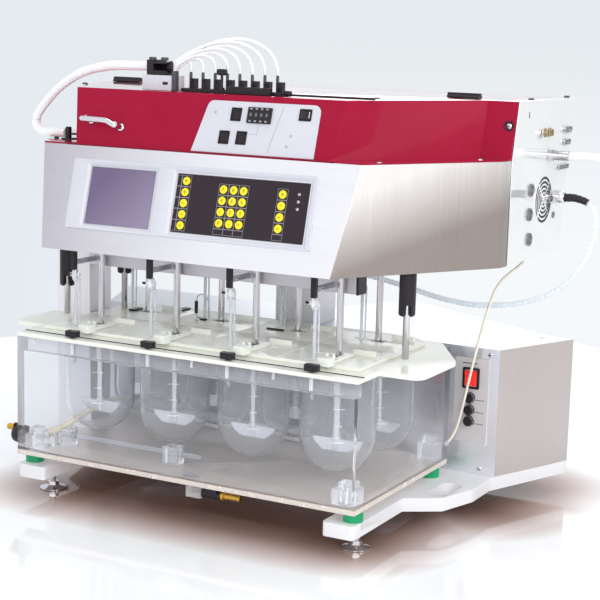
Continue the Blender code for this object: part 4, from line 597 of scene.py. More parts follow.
BLADE = finish("blade_satin", (206, 205, 209), (232, 231, 234), (0.14, 0.26), metal=0.92, skin=0.1)
PLUG_GREY = finish("plug_grey", (168, 166, 172), (188, 186, 192), (0.25, 0.38), metal=0.7, skin=0.05)
POLISHED_PLATE = finish("polished_plate", (228, 230, 230), (238, 240, 239), (0.07, 0.14), coat=1.0, skin=0.0,
                        metal=0.25)
SOCKET_GREY = finish("socket_grey", (120, 119, 124), (142, 140, 146), (0.28, 0.42), metal=0.4, skin=0.1)
# The red rocker gets a faint painted glow to brighten it; it holds no lamp.
RED_ROCKER_GLOW = painted_glow("red_rocker_painted_glow", (238, 44, 36), 0.35)
GLASS = clear("vessel_glass", (248, 249, 251), ior=1.27, milk=0.055)
ACRYLIC = clear("clear_acrylic", (249, 250, 252), rough=0.0, film=0.02, ior=1.16, milk=0.035)
BATH_FLOOR = clear("bath_floor", (249, 243, 238), rough=0.03, film=0.06, ior=1.16, milk=0.36, shade=(190, 170, 160))
BEAM_MILK = clear("beam_milk", (236, 234, 238), rough=0.05, film=0.1, ior=1.1, milk=0.2)
SPIRAL_BAND = clear("spiral_band", (240, 246, 250), rough=0.3, film=0.1, ior=1.1, milk=0.45)
CUT_EDGE = clear("cut_edge", (244, 238, 232), rough=0.2, film=0.1, ior=1.1, milk=0.55)
CLEAR_BLOCK = clear("clear_block", (250, 251, 253), rough=0.02, film=0.05, ior=1.25, milk=0.18)
CLEAR_TUBE = clear("clear_tube", (247, 248, 250), rough=0.02, film=0.05, ior=1.2, milk=0.06)
DOWEL = clear("dowel", (246, 247, 249), rough=0.1, ior=1.1, milk=0.55)
YELLOWED = clear("yellowed_tube", (240, 233, 212), 0.15, 1.1, milk=0.5)
DIP_TUBE = clear("dip_tube", (236, 238, 241), 0.08, 1.15, milk=0.4)

print("materials", len(bpy.data.materials))

# %% [markdown]
# ## Cords
# The cords come first, because their routes are the CAD's own. Each is a ring swept along a smooth curve. The
# hose from the clamp is a loose white sleeve round a bundle of thin tubes, so its section has eight soft lobes.

# %% Sleeve hose
def metres(path):
    """A path's length in metres."""
    return float(path_length(row(path))[-1])


def cord(name, path, radius, look, covers=(), steps=16, section=None,
         blend=None):
    """A cord as a swept tube, whose length is printed; when blend is given, the cord rides on no body and its points
    are not read.
    """
    obj = bpy.data.objects.new(name, mesh_of(name, [swept(path, radius, steps, section)]))
    if blend:
        bpy.context.scene.collection.objects.link(obj)
        obj.data.materials.append(look)
        obj.data.shade_smooth()
        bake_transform(obj)
        if covers:
            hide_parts(*covers)
    else:
        dressed(obj, look, "head", covers=covers)
    print(name, round(metres(path), 3), "m")


SLEEVE_ROUTE = [(-112.5, 95, 657), (-142, 95, 657), (-190, 94, 655), (-240, 95, 643), (-284, 101, 620),
                (-317, 106, 593), (-333, 107, 572), (-330, 105, 557), (-314, 99, 551.5), (-290, 94, 551.5),
                (-267.5, 94, 551.5)]


def bundle(distance, turn):
    """Eight lobes that twist slowly along the hose: 1 + a cos(8 (t + s / pitch))."""
    return 0.98 + 0.02 * np.cos(8 * (turn + distance / 150.0))


cord("sleeve_hose_tube", smooth(SLEEVE_ROUTE, 8), 7.0, HOSE, covers=("sleeve_hose",), steps=48,
     section=bundle)

# %% [markdown]
# From the clamp the eight tubes rise in a fan and come down on the rack's spouts.

# %% Sampling tubes
POST_X = [-50 + 20.6 * i for i in range(8)]
RACK_X = [x + 1.2 for x in POST_X]
SPOUT_TOP = 651.6


def fan_path(i):
    """A straight line from clamp to spout, lifted by an arc 2 t (1 - t)^0.6, and a short drop onto the spout."""
    start = np.array([-77.5 + 4, 95 + (i % 2 - 0.5) * 4.4, 657 + (i // 2 - 1.5) * 4.4])
    end = np.array([RACK_X[i], 101.5, SPOUT_TOP])
    t = np.linspace(0, 1, 28)[:, None]
    line = start + (end + (0, 0, 9) - start) * t
    line[:, 2:] += 56 * (i + 2) / 9 * 2 * t * (1 - t) ** 0.6
    return np.vstack([line, end])


for i in range(8):
    cord(f"sampling_tube_{i + 1}", fan_path(i), 2.3, TUBE, steps=10,
         covers=("sampling_tubes",) if i == 0 else ())
piece("tube_gland", [bar(9.0, -4, 5, round_by=1.5, matrix=facing_right(95, 657, -77.5))], BLACK, "head")

# %% [markdown]
# The cable to the rear column is wrapped in a spiral of clear band, and the supply hose is plain and white. The spiral
# cable and the thin level tube are held by the head at one end and by the stand at the other; here they are fixed, on
# neither body.

# %% Spiral cable, supply hose and level tube
SPIRAL_ROUTE = [(422.2, 412, 477.6), (440, 412, 477.6), (461, 412, 470), (473, 410, 450), (470, 405, 412),
                (452, 402, 370), (428, 400, 343), (400, 398, 325), (360, 396, 311), (320, 394, 305),
                (280, 391, 303), (230, 388, 309), (170, 386, 322), (110, 385, 332), (60, 385, 336),
                (37.6, 385, 336)]


def wrapping(distance, turn):
    """A ridge that winds round the cable: 1 + a cos(t - 2 pi s / pitch), flattened to a band."""
    wave = np.cos(turn - 2 * np.pi * distance / 9.0)
    return 0.93 + 0.07 * np.clip(1.6 * wave, -1, 1)


cord("spiral_cable_tube", smooth(SPIRAL_ROUTE, 36), 4.5, SPIRAL_BAND, covers=("spiral_cable",), steps=16,
     section=wrapping, blend=((300, 392, 400), (300, 392, 300)))

SUPPLY_ROUTE = [(410.3, 409, 540), (432, 409, 540), (462, 410, 540.5), (500, 414, 535), (545, 420, 505),
                (580, 428, 440), (597, 440, 340), (600, 452, 230), (598, 462, 130), (592, 478, 55), (575, 500, 15),
                (545, 530, 7.2), (505, 552, 6.5), (474, 566, 6.5)]
supply_end = frame_at((474, 566, 6.5), (0, 0, 1), (0.412, 0.912, 0), (-0.912, 0.412, 0))
END_PROFILE = [(0, -10), (6.4, -10), (6.4, 2), (5, 3), (5, 6), (4, 7.5), (3.4, 10), (0, 10)]
supply_fitting = piece("supply_fitting", [turned(END_PROFILE, 24, matrix=supply_end)], PLUG_GREY, "head")
cord("supply_hose_tube", smooth(SUPPLY_ROUTE, 10), 6.0, HOSE, covers=("supply_hose",), steps=20)

LEVEL_ROUTE = [(366, 406, 388), (365, 405, 379), (360.3, 400, 370.5), (350.8, 388, 360), (341.3, 376, 347.5),
               (334.6, 362, 328.5), (329.5, 342, 288.3), (322, 326, 231.5), (314.6, 322, 187.5), (304.2, 319, 133.8),
               (297, 316, 112), (290.5, 313, 100.5)]
level_end = frame_at((287.8, 311.5, 96.5), (0, 1, 0), (0.8, 0, -0.6), (0.6, 0, 0.8))
level_nozzle = piece("level_nozzle", [bar(3.4, 0, 6, 20, round_by=0.6, matrix=level_end)], CLEAR_BLOCK, "stand")
cord("level_tube", smooth(LEVEL_ROUTE, 12), 2.1, LEVEL_CREAM, steps=12,
     blend=((330, 360, 350), (330, 360, 255)))

# %% [markdown]
# ## Base and feet
# The base is a sprayed casting with two arms. Its CAD node has the right outline, so it is only softened. The four
# green pads are separate rubber discs on it, and the feet are turned steel discs with a nut and a threaded stud.

# %% Base, pads and feet
softened("base_frame", WHITE_CAST, "stand", 3.0, 3)
PADS = [(-274, 25), (274, 25), (-274, 288), (274, 288)]
piece("bath_pads", [bar(14.0, 50.1, 65.2, 40, at=(x, y, 0), round_by=0.8) for x, y in PADS], GREEN, "stand")

FOOT_PROFILE = [(0, 0), (19, 0), (20, 0.8), (20, 2.2), (17, 3.6), (12, 4.6), (10, 6.2), (7, 7.0), (0, 7.0)]
THREAD = [(5.0 + 0.35 * (-1) ** k, 12.5 + 0.55 * k) for k in range(31)]


def nut(radius, low, high, at):
    """A hexagon raised from low to high."""
    return slab(radius * circle(np.radians(30 + 60 * np.arange(6))), low, high, frame_at(at))


for end, y in (("front", 57), ("rear", 440)):
    for hand, x in (("left", -264), ("right", 264)):
        name = f"{end}_{hand}"
        shapes = [turned(FOOT_PROFILE, 48, (x, y, 0)), nut(9.0, 6.5, 12.0, (x, y, 0)),
                  turned([(0, 11.5), (5, 11.5)] + THREAD + [(5, 29.6), (0, 29.6)], 24, (x, y, 0))]
        piece(f"foot_{name}", shapes, CHROME, f"foot_{name}", covers=(f"levelling_foot_{name}",))
print("feet 4, pads", len(PADS))

# %% [markdown]
# ## Bath
# The bath is glued from clear sheet, so its faces are flat and its edges are cut: the bright lines along them are
# small bevels. White dowels stand in the front beam under the knobs, and clear blocks with screws sit inside.

# %% Bath tank and its fittings
FLOOR_BELOW = 0.0745
LEVEL = 0.9


def face_values(mesh, what):
    """A vector of every face of a mesh, such as its normal or its center, as rows."""
    values = np.empty(len(mesh.polygons) * 3)
    mesh.polygons.foreach_get(what, values)
    return values.reshape(-1, 3)


tank = softened("bath_tank", ACRYLIC, "stand", 0.7, 2)
tank.data.materials.append(BATH_FLOOR)
low_and_flat = ((np.abs(face_values(tank.data, "normal")[:, 2]) > LEVEL)
                & (face_values(tank.data, "center")[:, 2] < FLOOR_BELOW))
tank.data.polygons.foreach_set("material_index", low_and_flat.astype(np.int32))
piece("cut_edges", [block((-287.2, 287.2), (-0.35, -0.05), (65.8, 72.8)),
                    block((287.65, 287.95), (0, 317.6), (65.8, 72.8))], CUT_EDGE, "stand")
piece("beam_sheet", [block((-279, 279), (20.3, 21.1), (226.6, 248.2))], BEAM_MILK, "stand")
KNOBS_X = [-191.5 + 134.3 * i for i in range(4)]
piece("rim_dowels", [bar(2.9, 229, 247, 20, at=(x, 10, 0), round_by=0.8) for x in KNOBS_X]
      + [bar(2.2, 237, 247, 16, at=(x, 10, 0), round_by=0.6) for x in (-262, 18, 152)], DOWEL, "stand")


def screw_head(matrix, radius, rise):
    """A domed head: height falls off with the square of the radius, and a shallow rim."""
    r = np.linspace(1, 0, 7)
    dome = np.column_stack((radius * r, 0.45 * rise + 0.55 * rise * (1 - r ** 2)))
    return turned(np.vstack([[(0, -0.2), (radius, -0.2)], dome]), 24, matrix=matrix)


def slot_mark(matrix, radius, rise):
    """The slot in a screw's head as painted shade: a thin dark bar let into its top."""
    return block((-radius * 0.8, radius * 0.8), (-0.45, 0.45), (rise - 0.35, rise + 0.06), matrix)


def screws(name, matrices, body, radius=4.0, rise=1.6, look=POLISHED):
    """Screws, and their slots in painted shade, as two pieces."""
    piece(name, [screw_head(m, radius, rise) for m in matrices], look, body)
    piece(name + "_slots", [slot_mark(m, radius, rise) for m in matrices], OPENING_SHADE, body)


def corner_block(side):
    """Clear stacked blocks in a front corner: a foot block, an upper block and a cross bar."""
    x = side * 279.0
    return [block(sorted((x, x - side * 30)), (9, 38), (74, 96)),
            block(sorted((x - side * 4, x - side * 24)), (13, 33), (96.2, 106)),
            bar(3.2, 0, 26, 20, matrix=frame_at((x - side * 14, 12, 88), (1, 0, 0), (0, 0, 1), (0, 1, 0)))]


blocks = corner_block(-1) + corner_block(1)
blocks += [block((-250.4, -225.6), (48.6, 71.4), (73.6, 101.6)), block((-246, -230), (54, 66), (101.8, 106)),
           block((-55.4, -30.6), (48.6, 71.4), (73.6, 101.6)),
           block((248, 279), (284, 309), (73.6, 100)), block((254, 274), (290, 306), (100.2, 112))]
piece("clear_blocks", blocks, CLEAR_BLOCK, "stand", bevel=0.9)
piece("block_screws", [bar(2.0, 76, 98, 12, at=(x, y, 0)) for x, y in
                       ((-268, 20), (-256, 30), (268, 20), (256, 30), (-246, 54), (-230, 66), (-50, 54), (-36, 66))],
      PRINT_WHITE, "stand")
piece("feed_pipe", [turned([(4.7, 0), (4.7, 250), (3.2, 250), (3.2, 0)], 24, ring_like=True,
                           matrix=facing_right(60, 90.3, -246))],
      CLEAR_TUBE, "stand")
piece("floor_ring", [turned([(11, 73.4), (14, 73.4), (14, 74.4), (11, 74.4)], 40, (12.5, 19.5, 0), ring_like=True),
                     bar(5, 73.4, 74.2, 24, at=(12.5, 19.5, 0))], PRINT, "stand")
PORT = facing_front(-196, 309.7, 108)
piece("port_ring", [turned([(9, 0), (16, 0), (16, 4), (14.5, 6), (9, 6)], 40, matrix=PORT, ring_like=True)],
      CLEAR_BLOCK, "stand")
# The port's hole is a dark disc of painted shade.
piece("port_hole", [bar(8.5, 0.1, 2.4, 32, matrix=PORT, round_by=0.5)], OPENING_SHADE, "stand")
INLET = [(-276, 24, 92), (-262, 30, 93), (-246, 44, 100), (-232, 74, 112), (-226, 118, 124), (-222, 170, 128),
         (-214, 236, 118), (-200, 296, 108)]
piece("inlet_tube", [swept(smooth(INLET, 8), 4.6, 20)], YELLOWED, "stand")

# %% [markdown]
# The hose on the bath's floor is corrugated: its radius rises and falls along its length like a rounded wave.

# %% Corrugated hose
ribs = np.linspace(0, 220, 40 * 8 + 1)
radius = 10.3 + 0.75 * np.tanh(1.8 * np.sin(2 * np.pi * ribs / 5.5))
outer = np.column_stack((radius, ribs))
hose_profile = np.vstack([outer, [(8.5, 220.0), (8.5, 0.0)]])
piece("corrugated_hose", [turned(hose_profile, 28, ring_like=True,
                                 matrix=facing_right(276, 84.6, -165))],
      HOSE, "stand", covers=("circulation_hose",))

# %% [markdown]
# Two drains: one under the front edge, with a clear block, a black valve and a brass nozzle, and a black one on
# the left wall with a nozzle above its middle.

# %% Drains
DRAIN = facing_right(16, 54.2, 38)
piece("drain_block", [block((13.5, 38), (4, 28), (46.7, 64.7))], CLEAR_BLOCK, "stand", bevel=1.2,
      covers=("front_drain",))
piece("drain_valve", [turned([(0, -1), (8.6, -1), (8.6, 3), (7.8, 4), (7.8, 27), (8.6, 28), (8.6, 31), (0, 31)], 32,
                             matrix=DRAIN), block((44, 64), (6, 16), (57, 64))], BLACK, "stand", bevel=0.5)
NOZZLE = [(0, 0), (7.8, 0), (7.8, 5), (5.4, 6), (5.4, 12), (4.6, 13), (5.3, 18), (4.6, 19), (5.3, 24), (4.6, 25),
          (5.2, 30), (4.4, 34), (1.8, 34), (1.8, 10), (0, 10)]
piece("drain_nozzle", [turned([(r, 0.88 * h + 31.2) for r, h in NOZZLE], 28, matrix=DRAIN)], BRASS, "stand")
SIDE_DRAIN = frame_at((-287.9, 20, 91), (0, 1, 0), (0, 0, 1), (-1, 0, 0))
piece("side_valve", [turned([(0, 0), (13.4, 0), (14, 1), (14, 15), (12.5, 18.5), (9, 20.6), (0, 21)], 40,
                            matrix=SIDE_DRAIN)], BLACK, "stand", covers=("side_drain",))
piece("side_valve_mark", [block((-5, 5), (-4, 4), (20.9, 21.15), SIDE_DRAIN)], PRINT, "stand", bevel=0.1)
piece("side_nozzle", [turned([(r * 0.95, h * 0.42 + 19) for r, h in NOZZLE], 28,
                             matrix=frame_at((-287.9, 20, 99.5), (0, 1, 0), (0, 0, 1), (-1, 0, 0)))], BRASS, "stand")

# %% [markdown]
# ## Plate, lids and knobs
# Cream plates lie on the bath's rim. The lids are one CAD node, so the joints between them are cut as grooves.
# Each black knob holds a tongue down on the front edge.

# %% Plate, strip, lids and tongues
softened("rim_strip", CREAM, "stand", 0.7, 2)
softened("vessel_plate", CREAM, "stand", 0.8, 2)
joints = [block((x - 0.6, x + 0.6), (36, 300), (260.3, 264)) for x in (-137, 0, 137)]
joints.append(block((-272, 272), (166.6, 167.8), (260.3, 264)))
softened("vessel_lids", CREAM, "stand", 0.5, 2, grooves=joints)
piece("strip_joint", [block((-287, 287), (18.7, 20.2), (249.4, 256.2))], INK, "stand")


def clamp(x):
    """A raised block behind a knob, a low foot under it, two prongs, and a bar that goes to the rear."""
    prongs = [bar(2.2, 262.2, 277, 16, at=(x + a, 42, 0), round_by=0.6) for a in (6, 16)]
    return [block((x + 2, x + 20), (20, 38), (262.1, 274)), block((x - 3, x + 2.2), (22, 34), (262.1, 268)),
            *prongs, block((x + 7, x + 15), (37.6, 104), (262.2, 266.6))]


piece("clamp_blocks", [shape for x in KNOBS_X for shape in clamp(x)], CLAMP_WHITE, "stand", bevel=1.0, segments=3)
for i, x in enumerate(KNOBS_X):
    body = frame_at((x, 9, 0))
    shapes = [slab(rounded((-10.5, 10.5), (-6.5, 6.5), 3.0), 257.2, 266.4, body),
              bar(3.8, 255.5, 257.4, 20, matrix=body)]
    piece(f"knob_{i + 1}_cap", shapes, BLACK, f"knob_{i + 1}", bevel=1.6, segments=3, covers=(f"clamp_knob_{i + 1}",))

# %% [markdown]
# Small things lie on the lids: black clips, and the wire loop of a temperature sensor.

# %% Clips and sensor
CLIPS = [(-226, 226, 12, 26), (-164, 272, 12, 26), (-92, 216, 12, 5), (40, 212, 30, 4)]
piece("lid_clips", [slab(rounded((x - a / 2, x + a / 2), (y - b / 2, y + b / 2), 1.5), 262.0, 264.6)
                    for x, y, a, b in CLIPS], BLACK, "stand", bevel=0.5)
piece("sensor_body", [bar(2.8, 268, 288, 20, at=(-115, 232, 0), round_by=0.8)], BLACK, "stand")
LOOP = [(-115, 232, 287), (-113, 233, 296), (-106, 236, 299), (-99, 239, 292), (-96, 240, 276), (-95, 240, 262.5)]
piece("sensor_wire", [swept(smooth(LOOP, 8), 0.9, 10),
                      swept(smooth([(-115, 232, 269), (-113, 232, 263), (-108, 231, 262.4)], 8), 0.9, 10)],
      PLUG_GREY, "stand")

# %% [markdown]
# ## Vessels
# A vessel is a turned glass: a half sphere, a straight wall and a flange. The profile goes up the outside and down
# the inside, so the wall is real glass, three millimetres thick. Its volume marks are short white arcs.

# %% Vessels
COLUMNS = (-205.5, -68.5, 68.5, 205.5)
STATIONS = [(x, y) for y in (102.5, 232.0) for x in COLUMNS]
OUTER, INNER, BOWL_CENTRE = 53, 50, 147.5
bowl = np.linspace(0, np.pi / 2, 17)
outside, inside = (np.column_stack((r * np.sin(bowl), BOWL_CENTRE - r * np.cos(bowl))) for r in (OUTER, INNER))
rim = [(53, 255.5), (54, 256.9), (57.6, 256.9), (58, 257.3), (58, 258.3), (57.6, 258.7), (51, 258.7), (50, 257.7)]
VESSEL = np.vstack([outside, rim, inside[::-1]])


def volume_mark(x, y, height, middle, half):
    """A short arc just proud of the glass, from middle - half to middle + half degrees."""
    arc = circle(np.radians(np.linspace(middle - half, middle + half, 9)))
    corners = [(OUTER + r, height + h) for r, h in ((0.02, -0.45), (0.02, 0.45), (0.3, 0.45), (0.3, -0.45))]
    return grid(np.stack([raised((x, y) + r * arc, h) for r, h in corners], axis=1))


for k, (x, y) in enumerate(STATIONS, 1):
    piece(f"vessel_{k}_glass", [turned(VESSEL, 72, (x, y, 0))], GLASS, "stand", covers=(f"vessel_{k}",))
marks = [volume_mark(x, y, h, -60, a) for x, y in STATIONS for h, a in ((148, 9), (172, 6), (196, 9), (218, 6))]
piece("volume_marks", marks, PRINT_WHITE, "stand")
print("vessels", len(STATIONS), "marks", len(marks))

# %% [markdown]
# ## Shafts and paddles
# A paddle blade is a flat plate with curved sides: its top is wider than its foot.

# %% Shafts
PADDLE_LOW = 122.5


def blade_outline():
    """Half widths follow a quarter sine from the foot's 21 mm to the top's 37.2 mm over 19 mm of height."""
    rise = np.linspace(0, 1, 9)
    half = 21 + 16.25 * np.sin(rise * np.pi / 2)
    right = np.column_stack((half, PADDLE_LOW + 19 * rise))
    return np.vstack([right, right[::-1] * (-1, 1)])


SHAFT = [(0, 124), (3.8, 124), (5, 125.2), (5, 390.3), (8, 390.3), (8, 394.3), (20, 394.3), (20, 395.2),
         (18.6, 395.8), (18.6, 405.0), (20, 405.6), (20, 406.3), (5, 406.3), (5, 411.6), (4.4, 412.3), (0, 412.3)]
for k, (x, y) in enumerate(STATIONS, 1):
    piece(f"shaft_{k}_rod", [turned(SHAFT, 28, (x, y, 0))], POLISHED, f"shaft_{k}", covers=(f"paddle_shaft_{k}",))
    piece(f"shaft_{k}_blade", [slab(blade_outline(), -2, 2, facing_front(x, y, 0)),
                               bar(6.4, 139.5, 146, 24, at=(x, y, 0), round_by=0.8)], BLADE, f"shaft_{k}",
          bevel=0.5)

# %% [markdown]
# ## Guide sleeves
# Each black sleeve is open at its lower end and slotted at the front, so the chrome rod shows in it. The slot is a
# rise in the lower rim: its height follows a steep step round the turn.

# %% Sleeves and rods
def sleeve(x, y, low):
    """Rings up the outside and down the inside; the lower rim rises by 16 mm inside two narrow arcs."""
    turn = np.linspace(0, 2 * np.pi, 64, endpoint=False)
    apart = np.minimum(np.abs(np.angle(np.exp(1j * (turn + 1.05)))), np.abs(np.angle(np.exp(1j * (turn - 2.09)))))
    slot_rise = 16 / (1 + np.exp((apart - 0.36) * 40))
    level = low + slot_rise
    rings = [(12.0, np.full(64, 387.7)), (12.0, level + 3.2), (11.2, level + 1.2), (9.6, level), (7.6, level),
             (6.8, level + 1.2), (6.6, np.full(64, 384.0))]
    return grid(np.stack([np.column_stack(((x, y) + r * circle(turn), h)) for r, h in rings]))


for name, x, y, low in (("left", -294, 134, 308), ("right", 294, 134, 324), ("rear", -251, 230, 320)):
    piece(f"sleeve_{name}", [sleeve(x, y, low)], BLACK, "head", covers=(f"guide_sleeve_{name}",))
    piece(f"guide_rod_{name}", [turned([(0, 262.1), (4.4, 262.1), (5, 262.9), (5, 383.9), (0, 383.9)], 24,
                                       (x, y, 0))], POLISHED, "head")

# %% [markdown]
# ## Rear housing, columns and the power switch
# The housing and columns are folded steel. Their CAD nodes are softened, and the finish is chosen face by face: grain
# runs across on the fronts and up on the sides. The housing's sides and top get darker copies of the steel as painted
# shade.

# %% Folded steel
def two_grains(obj, second, facing=-0.5, top=None):
    """Faces that look to the front keep the first finish, all others get the second, and upper ones the top's."""
    mesh = obj.data
    mesh.materials.append(second)
    mesh.materials.append(top or second)
    normals = face_values(mesh, "normal")
    index = np.where(normals[:, 2] > LEVEL, 2, (normals[:, 1] > facing).astype(int))
    mesh.polygons.foreach_set("material_index", index.astype(np.int32))
    return obj


two_grains(softened("rear_housing", STEEL, "stand", 1.4, 3), SHADED_STEEL_HOUSING, top=SHADED_STEEL_TOP)
for node in ("lift_column_left", "lift_column_middle"):
    softened(node, STEEL_COLUMN, "stand", 1.2, 3)
piece("housing_feet_plate", [block((-350, 350), (350, 480), (50.4, 52.0))], MOTOR, "stand")
screws("housing_screws", [frame_at((x, y, 247.3)) for x, y in ((316, 352), (376, 470), (-316, 352))]
       + [facing_front(333, 340, 58), facing_front(-333, 340, 58), facing_front(343, 340, 238)], "stand", 3.6)

# %% [markdown]
# The switch plate carries a red rocker in a black frame and three round black holders. The rocker's face is a
# shallow V, pressed at one end.

# %% Power switch
PLATE = facing_front(315, 338, 164.5)
piece("switch_plate", [slab(rounded((-27.8, 27.8), (-66.3, 66.3), 3), 0.0, 0.5, PLATE)], SWITCH_PLATE, "stand",
      bevel=0.2)
FRAME_ROCKER = facing_front(314.5, 336, 199.5)


def hollow_frame(x, y, wide, matrix, low, high, radius=2.0):
    """A raised frame with an open middle: the outline, and a smaller one, joined as a ring."""
    big, small = rounded((-x, x), (-y, y), radius), rounded((-x + wide, x - wide), (-y + wide, y - wide), 0.8)
    levels = [raised(outline, h) for outline, h in ((big, low), (big, high), (small, high), (small, low))]
    return put(grid(np.stack(levels), wrap_rows=True), matrix)


piece("rocker_frame", [hollow_frame(13.6, 16.4, 3.6, FRAME_ROCKER, -1.2, 1.6)], BLACK, "stand", bevel=0.4)


def rocker_shape(width, height, depth=3.0, crest=1.6):
    """A rocker seen from its side is a V: both ends stand higher than its middle by the crest."""
    y = np.linspace(-height / 2, height / 2, 13)
    top = depth + crest * (2 * np.abs(y) / height) ** 1.5
    side = np.vstack([np.column_stack((y, top)), [(height / 2, -3), (-height / 2, -3)]])
    levels = [np.column_stack((np.full(len(side), x), side[:, 0], side[:, 1])) for x in (-width / 2, width / 2)]
    return grid(np.stack(levels))


def tilt(matrix, degrees):
    """The frame turned about its own x axis."""
    a = np.radians(degrees)
    turn = np.eye(4)
    turn[1:3, 1:3] = [[np.cos(a), -np.sin(a)], [np.sin(a), np.cos(a)]]
    return matrix @ turn


# The rocker's red is lifted by a painted glow.
piece("mains_rocker", [put(rocker_shape(17.6, 22.6), tilt(FRAME_ROCKER, 7))], RED_ROCKER_GLOW, "power_rocker",
      bevel=0.6, covers=("mains_switch",))
piece("mains_rocker_mark", [put(block((-0.5, 0.5), (4.5, 9.0), (4.0, 4.35)), tilt(FRAME_ROCKER, 7 + 4))],
      PRINT_WHITE, "power_rocker")
holders = [facing_front(314, 336, z) for z in (169, 150, 132.5)]
piece("fuse_holders", [turned([(0, 0), (8.6, 0), (8.6, 2), (7.4, 3), (7.4, 6), (6.4, 7.2), (0, 7.2)], 32, matrix=m)
                       for m in holders], BLACK, "stand")
# The fuse slots are painted shade.
piece("fuse_slots", [block((-4.5, 4.5), (-0.8, 0.8), (7.1, 7.3), m) for m in holders], OPENING_SHADE, "stand")
piece("switch_labels", [block((8, 22), (z - 165.1, z - 164.2), (0.5, 0.62), PLATE) for z in (166, 147, 129)]
      + [block((-16, 8), (57, 58.4), (0.5, 0.62), PLATE)], INK, "stand")

# %% [markdown]
# ## Steel head and red cover
# The head's front is cut open behind the display and the keypad, as the real sheet is. The red cover is lacquered
# steel: its walls are satin, and only its top has the thick clear coat that mirrors the room. A thin dark strip
# stands for the shade in the joint between them.

# %% Head and cover
WINDOWS = [((-171, -59), (42, 127)), ((-22, 192), (42, 127))]
# The head's sides take the steel with its painted reflection.
two_grains(softened("head_housing", STEEL, "head", 1.6, 3,
                    grooves=[block(x, y, (-6, 2), STEEL_FRONT) for x, y in WINDOWS]), STEEL_SIDE, -0.72)
two_grains(softened("red_cover", RED, "head", 1.4, 3,
                    grooves=[block((x - 27, x + 27), (300, 320), (623.02, 640)) for x in (-299, 299)]
                    + [block((-268, -256), (83, 105), (542.34, 562))]), RED, top=RED_TOP)

RIM = [(-222, -1.3), (222, -1.3), (222, 0.5), (-222, 0.5)]
piece("flange_shadow", [slab(RIM, 0.05, 0.35, facing_front(0, 37.2, 540.9))], RED_DARK, "head")

# %% [markdown]
# The white frame has sloped edges round both windows. Each slope is cut by a block that widens towards the front,
# so the left slopes face the light and the right ones turn away, as in the photograph.

# %% Display frame, screen and keypad
def widening(x, y, low, high, spread, matrix):
    """A block between low and high whose outline grows by spread on each side towards high."""
    levels = [raised(rounded((x[0] - grow, x[1] + grow), (y[0] - grow, y[1] + grow), 1.2, 5), height)
              for height, grow in ((low, 0.0), (high, spread))]
    return put(grid(np.stack(levels)), matrix)


frame_plate = slab(rounded((-202, 203.5), (34, 137), 3.0), 0.3, 3.3, STEEL_FRONT)
plate_object = bpy.data.objects.new("display_frame", mesh_of("frame_plate", [frame_plate]))
plate_object.data = carved(plate_object, [widening(x, y, -1.0, 3.6, 5.6, STEEL_FRONT) for x, y in WINDOWS])
dressed(plate_object, PANEL, "head", 0.5, 2, covers=("display_bezel",))
piece("frame_backs", [slab(rounded((x[0] - 1, x[1] + 1), (y[0] - 1, y[1] + 1), 1), -1.2, -0.6, STEEL_FRONT)
                      for x, y in WINDOWS], PANEL, "head")
piece("screen", [slab(rounded((-170.4, -59.6), (42.6, 126.4), 0.8), -0.5, 0.6, STEEL_FRONT)], SCREEN, "head",
      bevel=0.2)
piece("keypad_membrane", [slab(rounded((-21.4, 191.4), (42.6, 126.4), 0.8), -0.5, 0.8, STEEL_FRONT)], KEYPAD, "head",
      bevel=0.2, covers=("keypad",))

KEY_PITCH = 15.9
NUMBER_X, RIGHT_X, LEFT_X = (56.5, 73.0, 89.0), 151.0, -5.7
MATRIX_S = [108.5 - KEY_PITCH * i for i in range(4)]
LEFT_KEYS = [(LEFT_X, 116.3 - KEY_PITCH * i) for i in range(5)]
RIGHT_KEYS = [(RIGHT_X, s) for s in MATRIX_S]
KEYS = LEFT_KEYS + [(x, s) for s in MATRIX_S for x in NUMBER_X + (RIGHT_X,)]


def on_front(x, s, height=0.8, base=STEEL_FRONT):
    """A frame on a leaning front at (x, s), raised off it by height."""
    matrix = base.copy()
    matrix[:3, 3] = base[:3, 3] + base[:3, :3] @ np.array([x, s, height])
    return matrix


KEY = [(0, -0.2), (6.0, -0.2), (6.0, 0.5), (5.6, 1.0), (4.6, 1.25), (2.4, 1.4), (0, 1.45)]
piece("keys", [turned(KEY, 32, matrix=on_front(x, s)) for x, s in KEYS], YELLOW, "head")


def outlines(cells, width=0.45, height=0.12):
    """Thin printed frames: four flat bars round each cell, given by its left, right, low and high edge."""
    bars = []
    for left, right, low, high in cells:
        for x, y in (((left, right), (low, low + width)), ((left, right), (high - width, high)),
                     ((left, left + width), (low, high)), ((right - width, right), (low, high))):
            bars.append(block(x, y, (0.8, 0.8 + height), STEEL_FRONT))
    return bars


half, CELL_HALF, CELL_X = KEY_PITCH / 2, 8.1, (56.9, 73.0, 89.1)
cells = [(x - half, x + half, s - half, s + half) for x, s in LEFT_KEYS + RIGHT_KEYS]
cells += [(-21, LEFT_X - half, s - half, s + half) for _, s in LEFT_KEYS]
cells += [(x - CELL_HALF, x + CELL_HALF, s - half, s + half) for x in CELL_X for s in MATRIX_S]
cells += [(x - CELL_HALF, x + CELL_HALF, 44.4, 52.9) for x in CELL_X + (RIGHT_X,)]
piece("keypad_lines", outlines(cells), PRINT, "head")
piece("keypad_lamps", [turned([(0, 0), (2.2, 0), (2.2, 0.3), (1.6, 0.7), (0, 0.8)], 20, matrix=on_front(176.5, s))
                       for s in (110.4, 100.1, 89.9)], PLUG_GREY, "head")

# %% [markdown]
# The numeric keys carry digits, and the others plain marks. A text curve is turned into a mesh first, and only
# then laid on its key, so that it is a piece like all others.

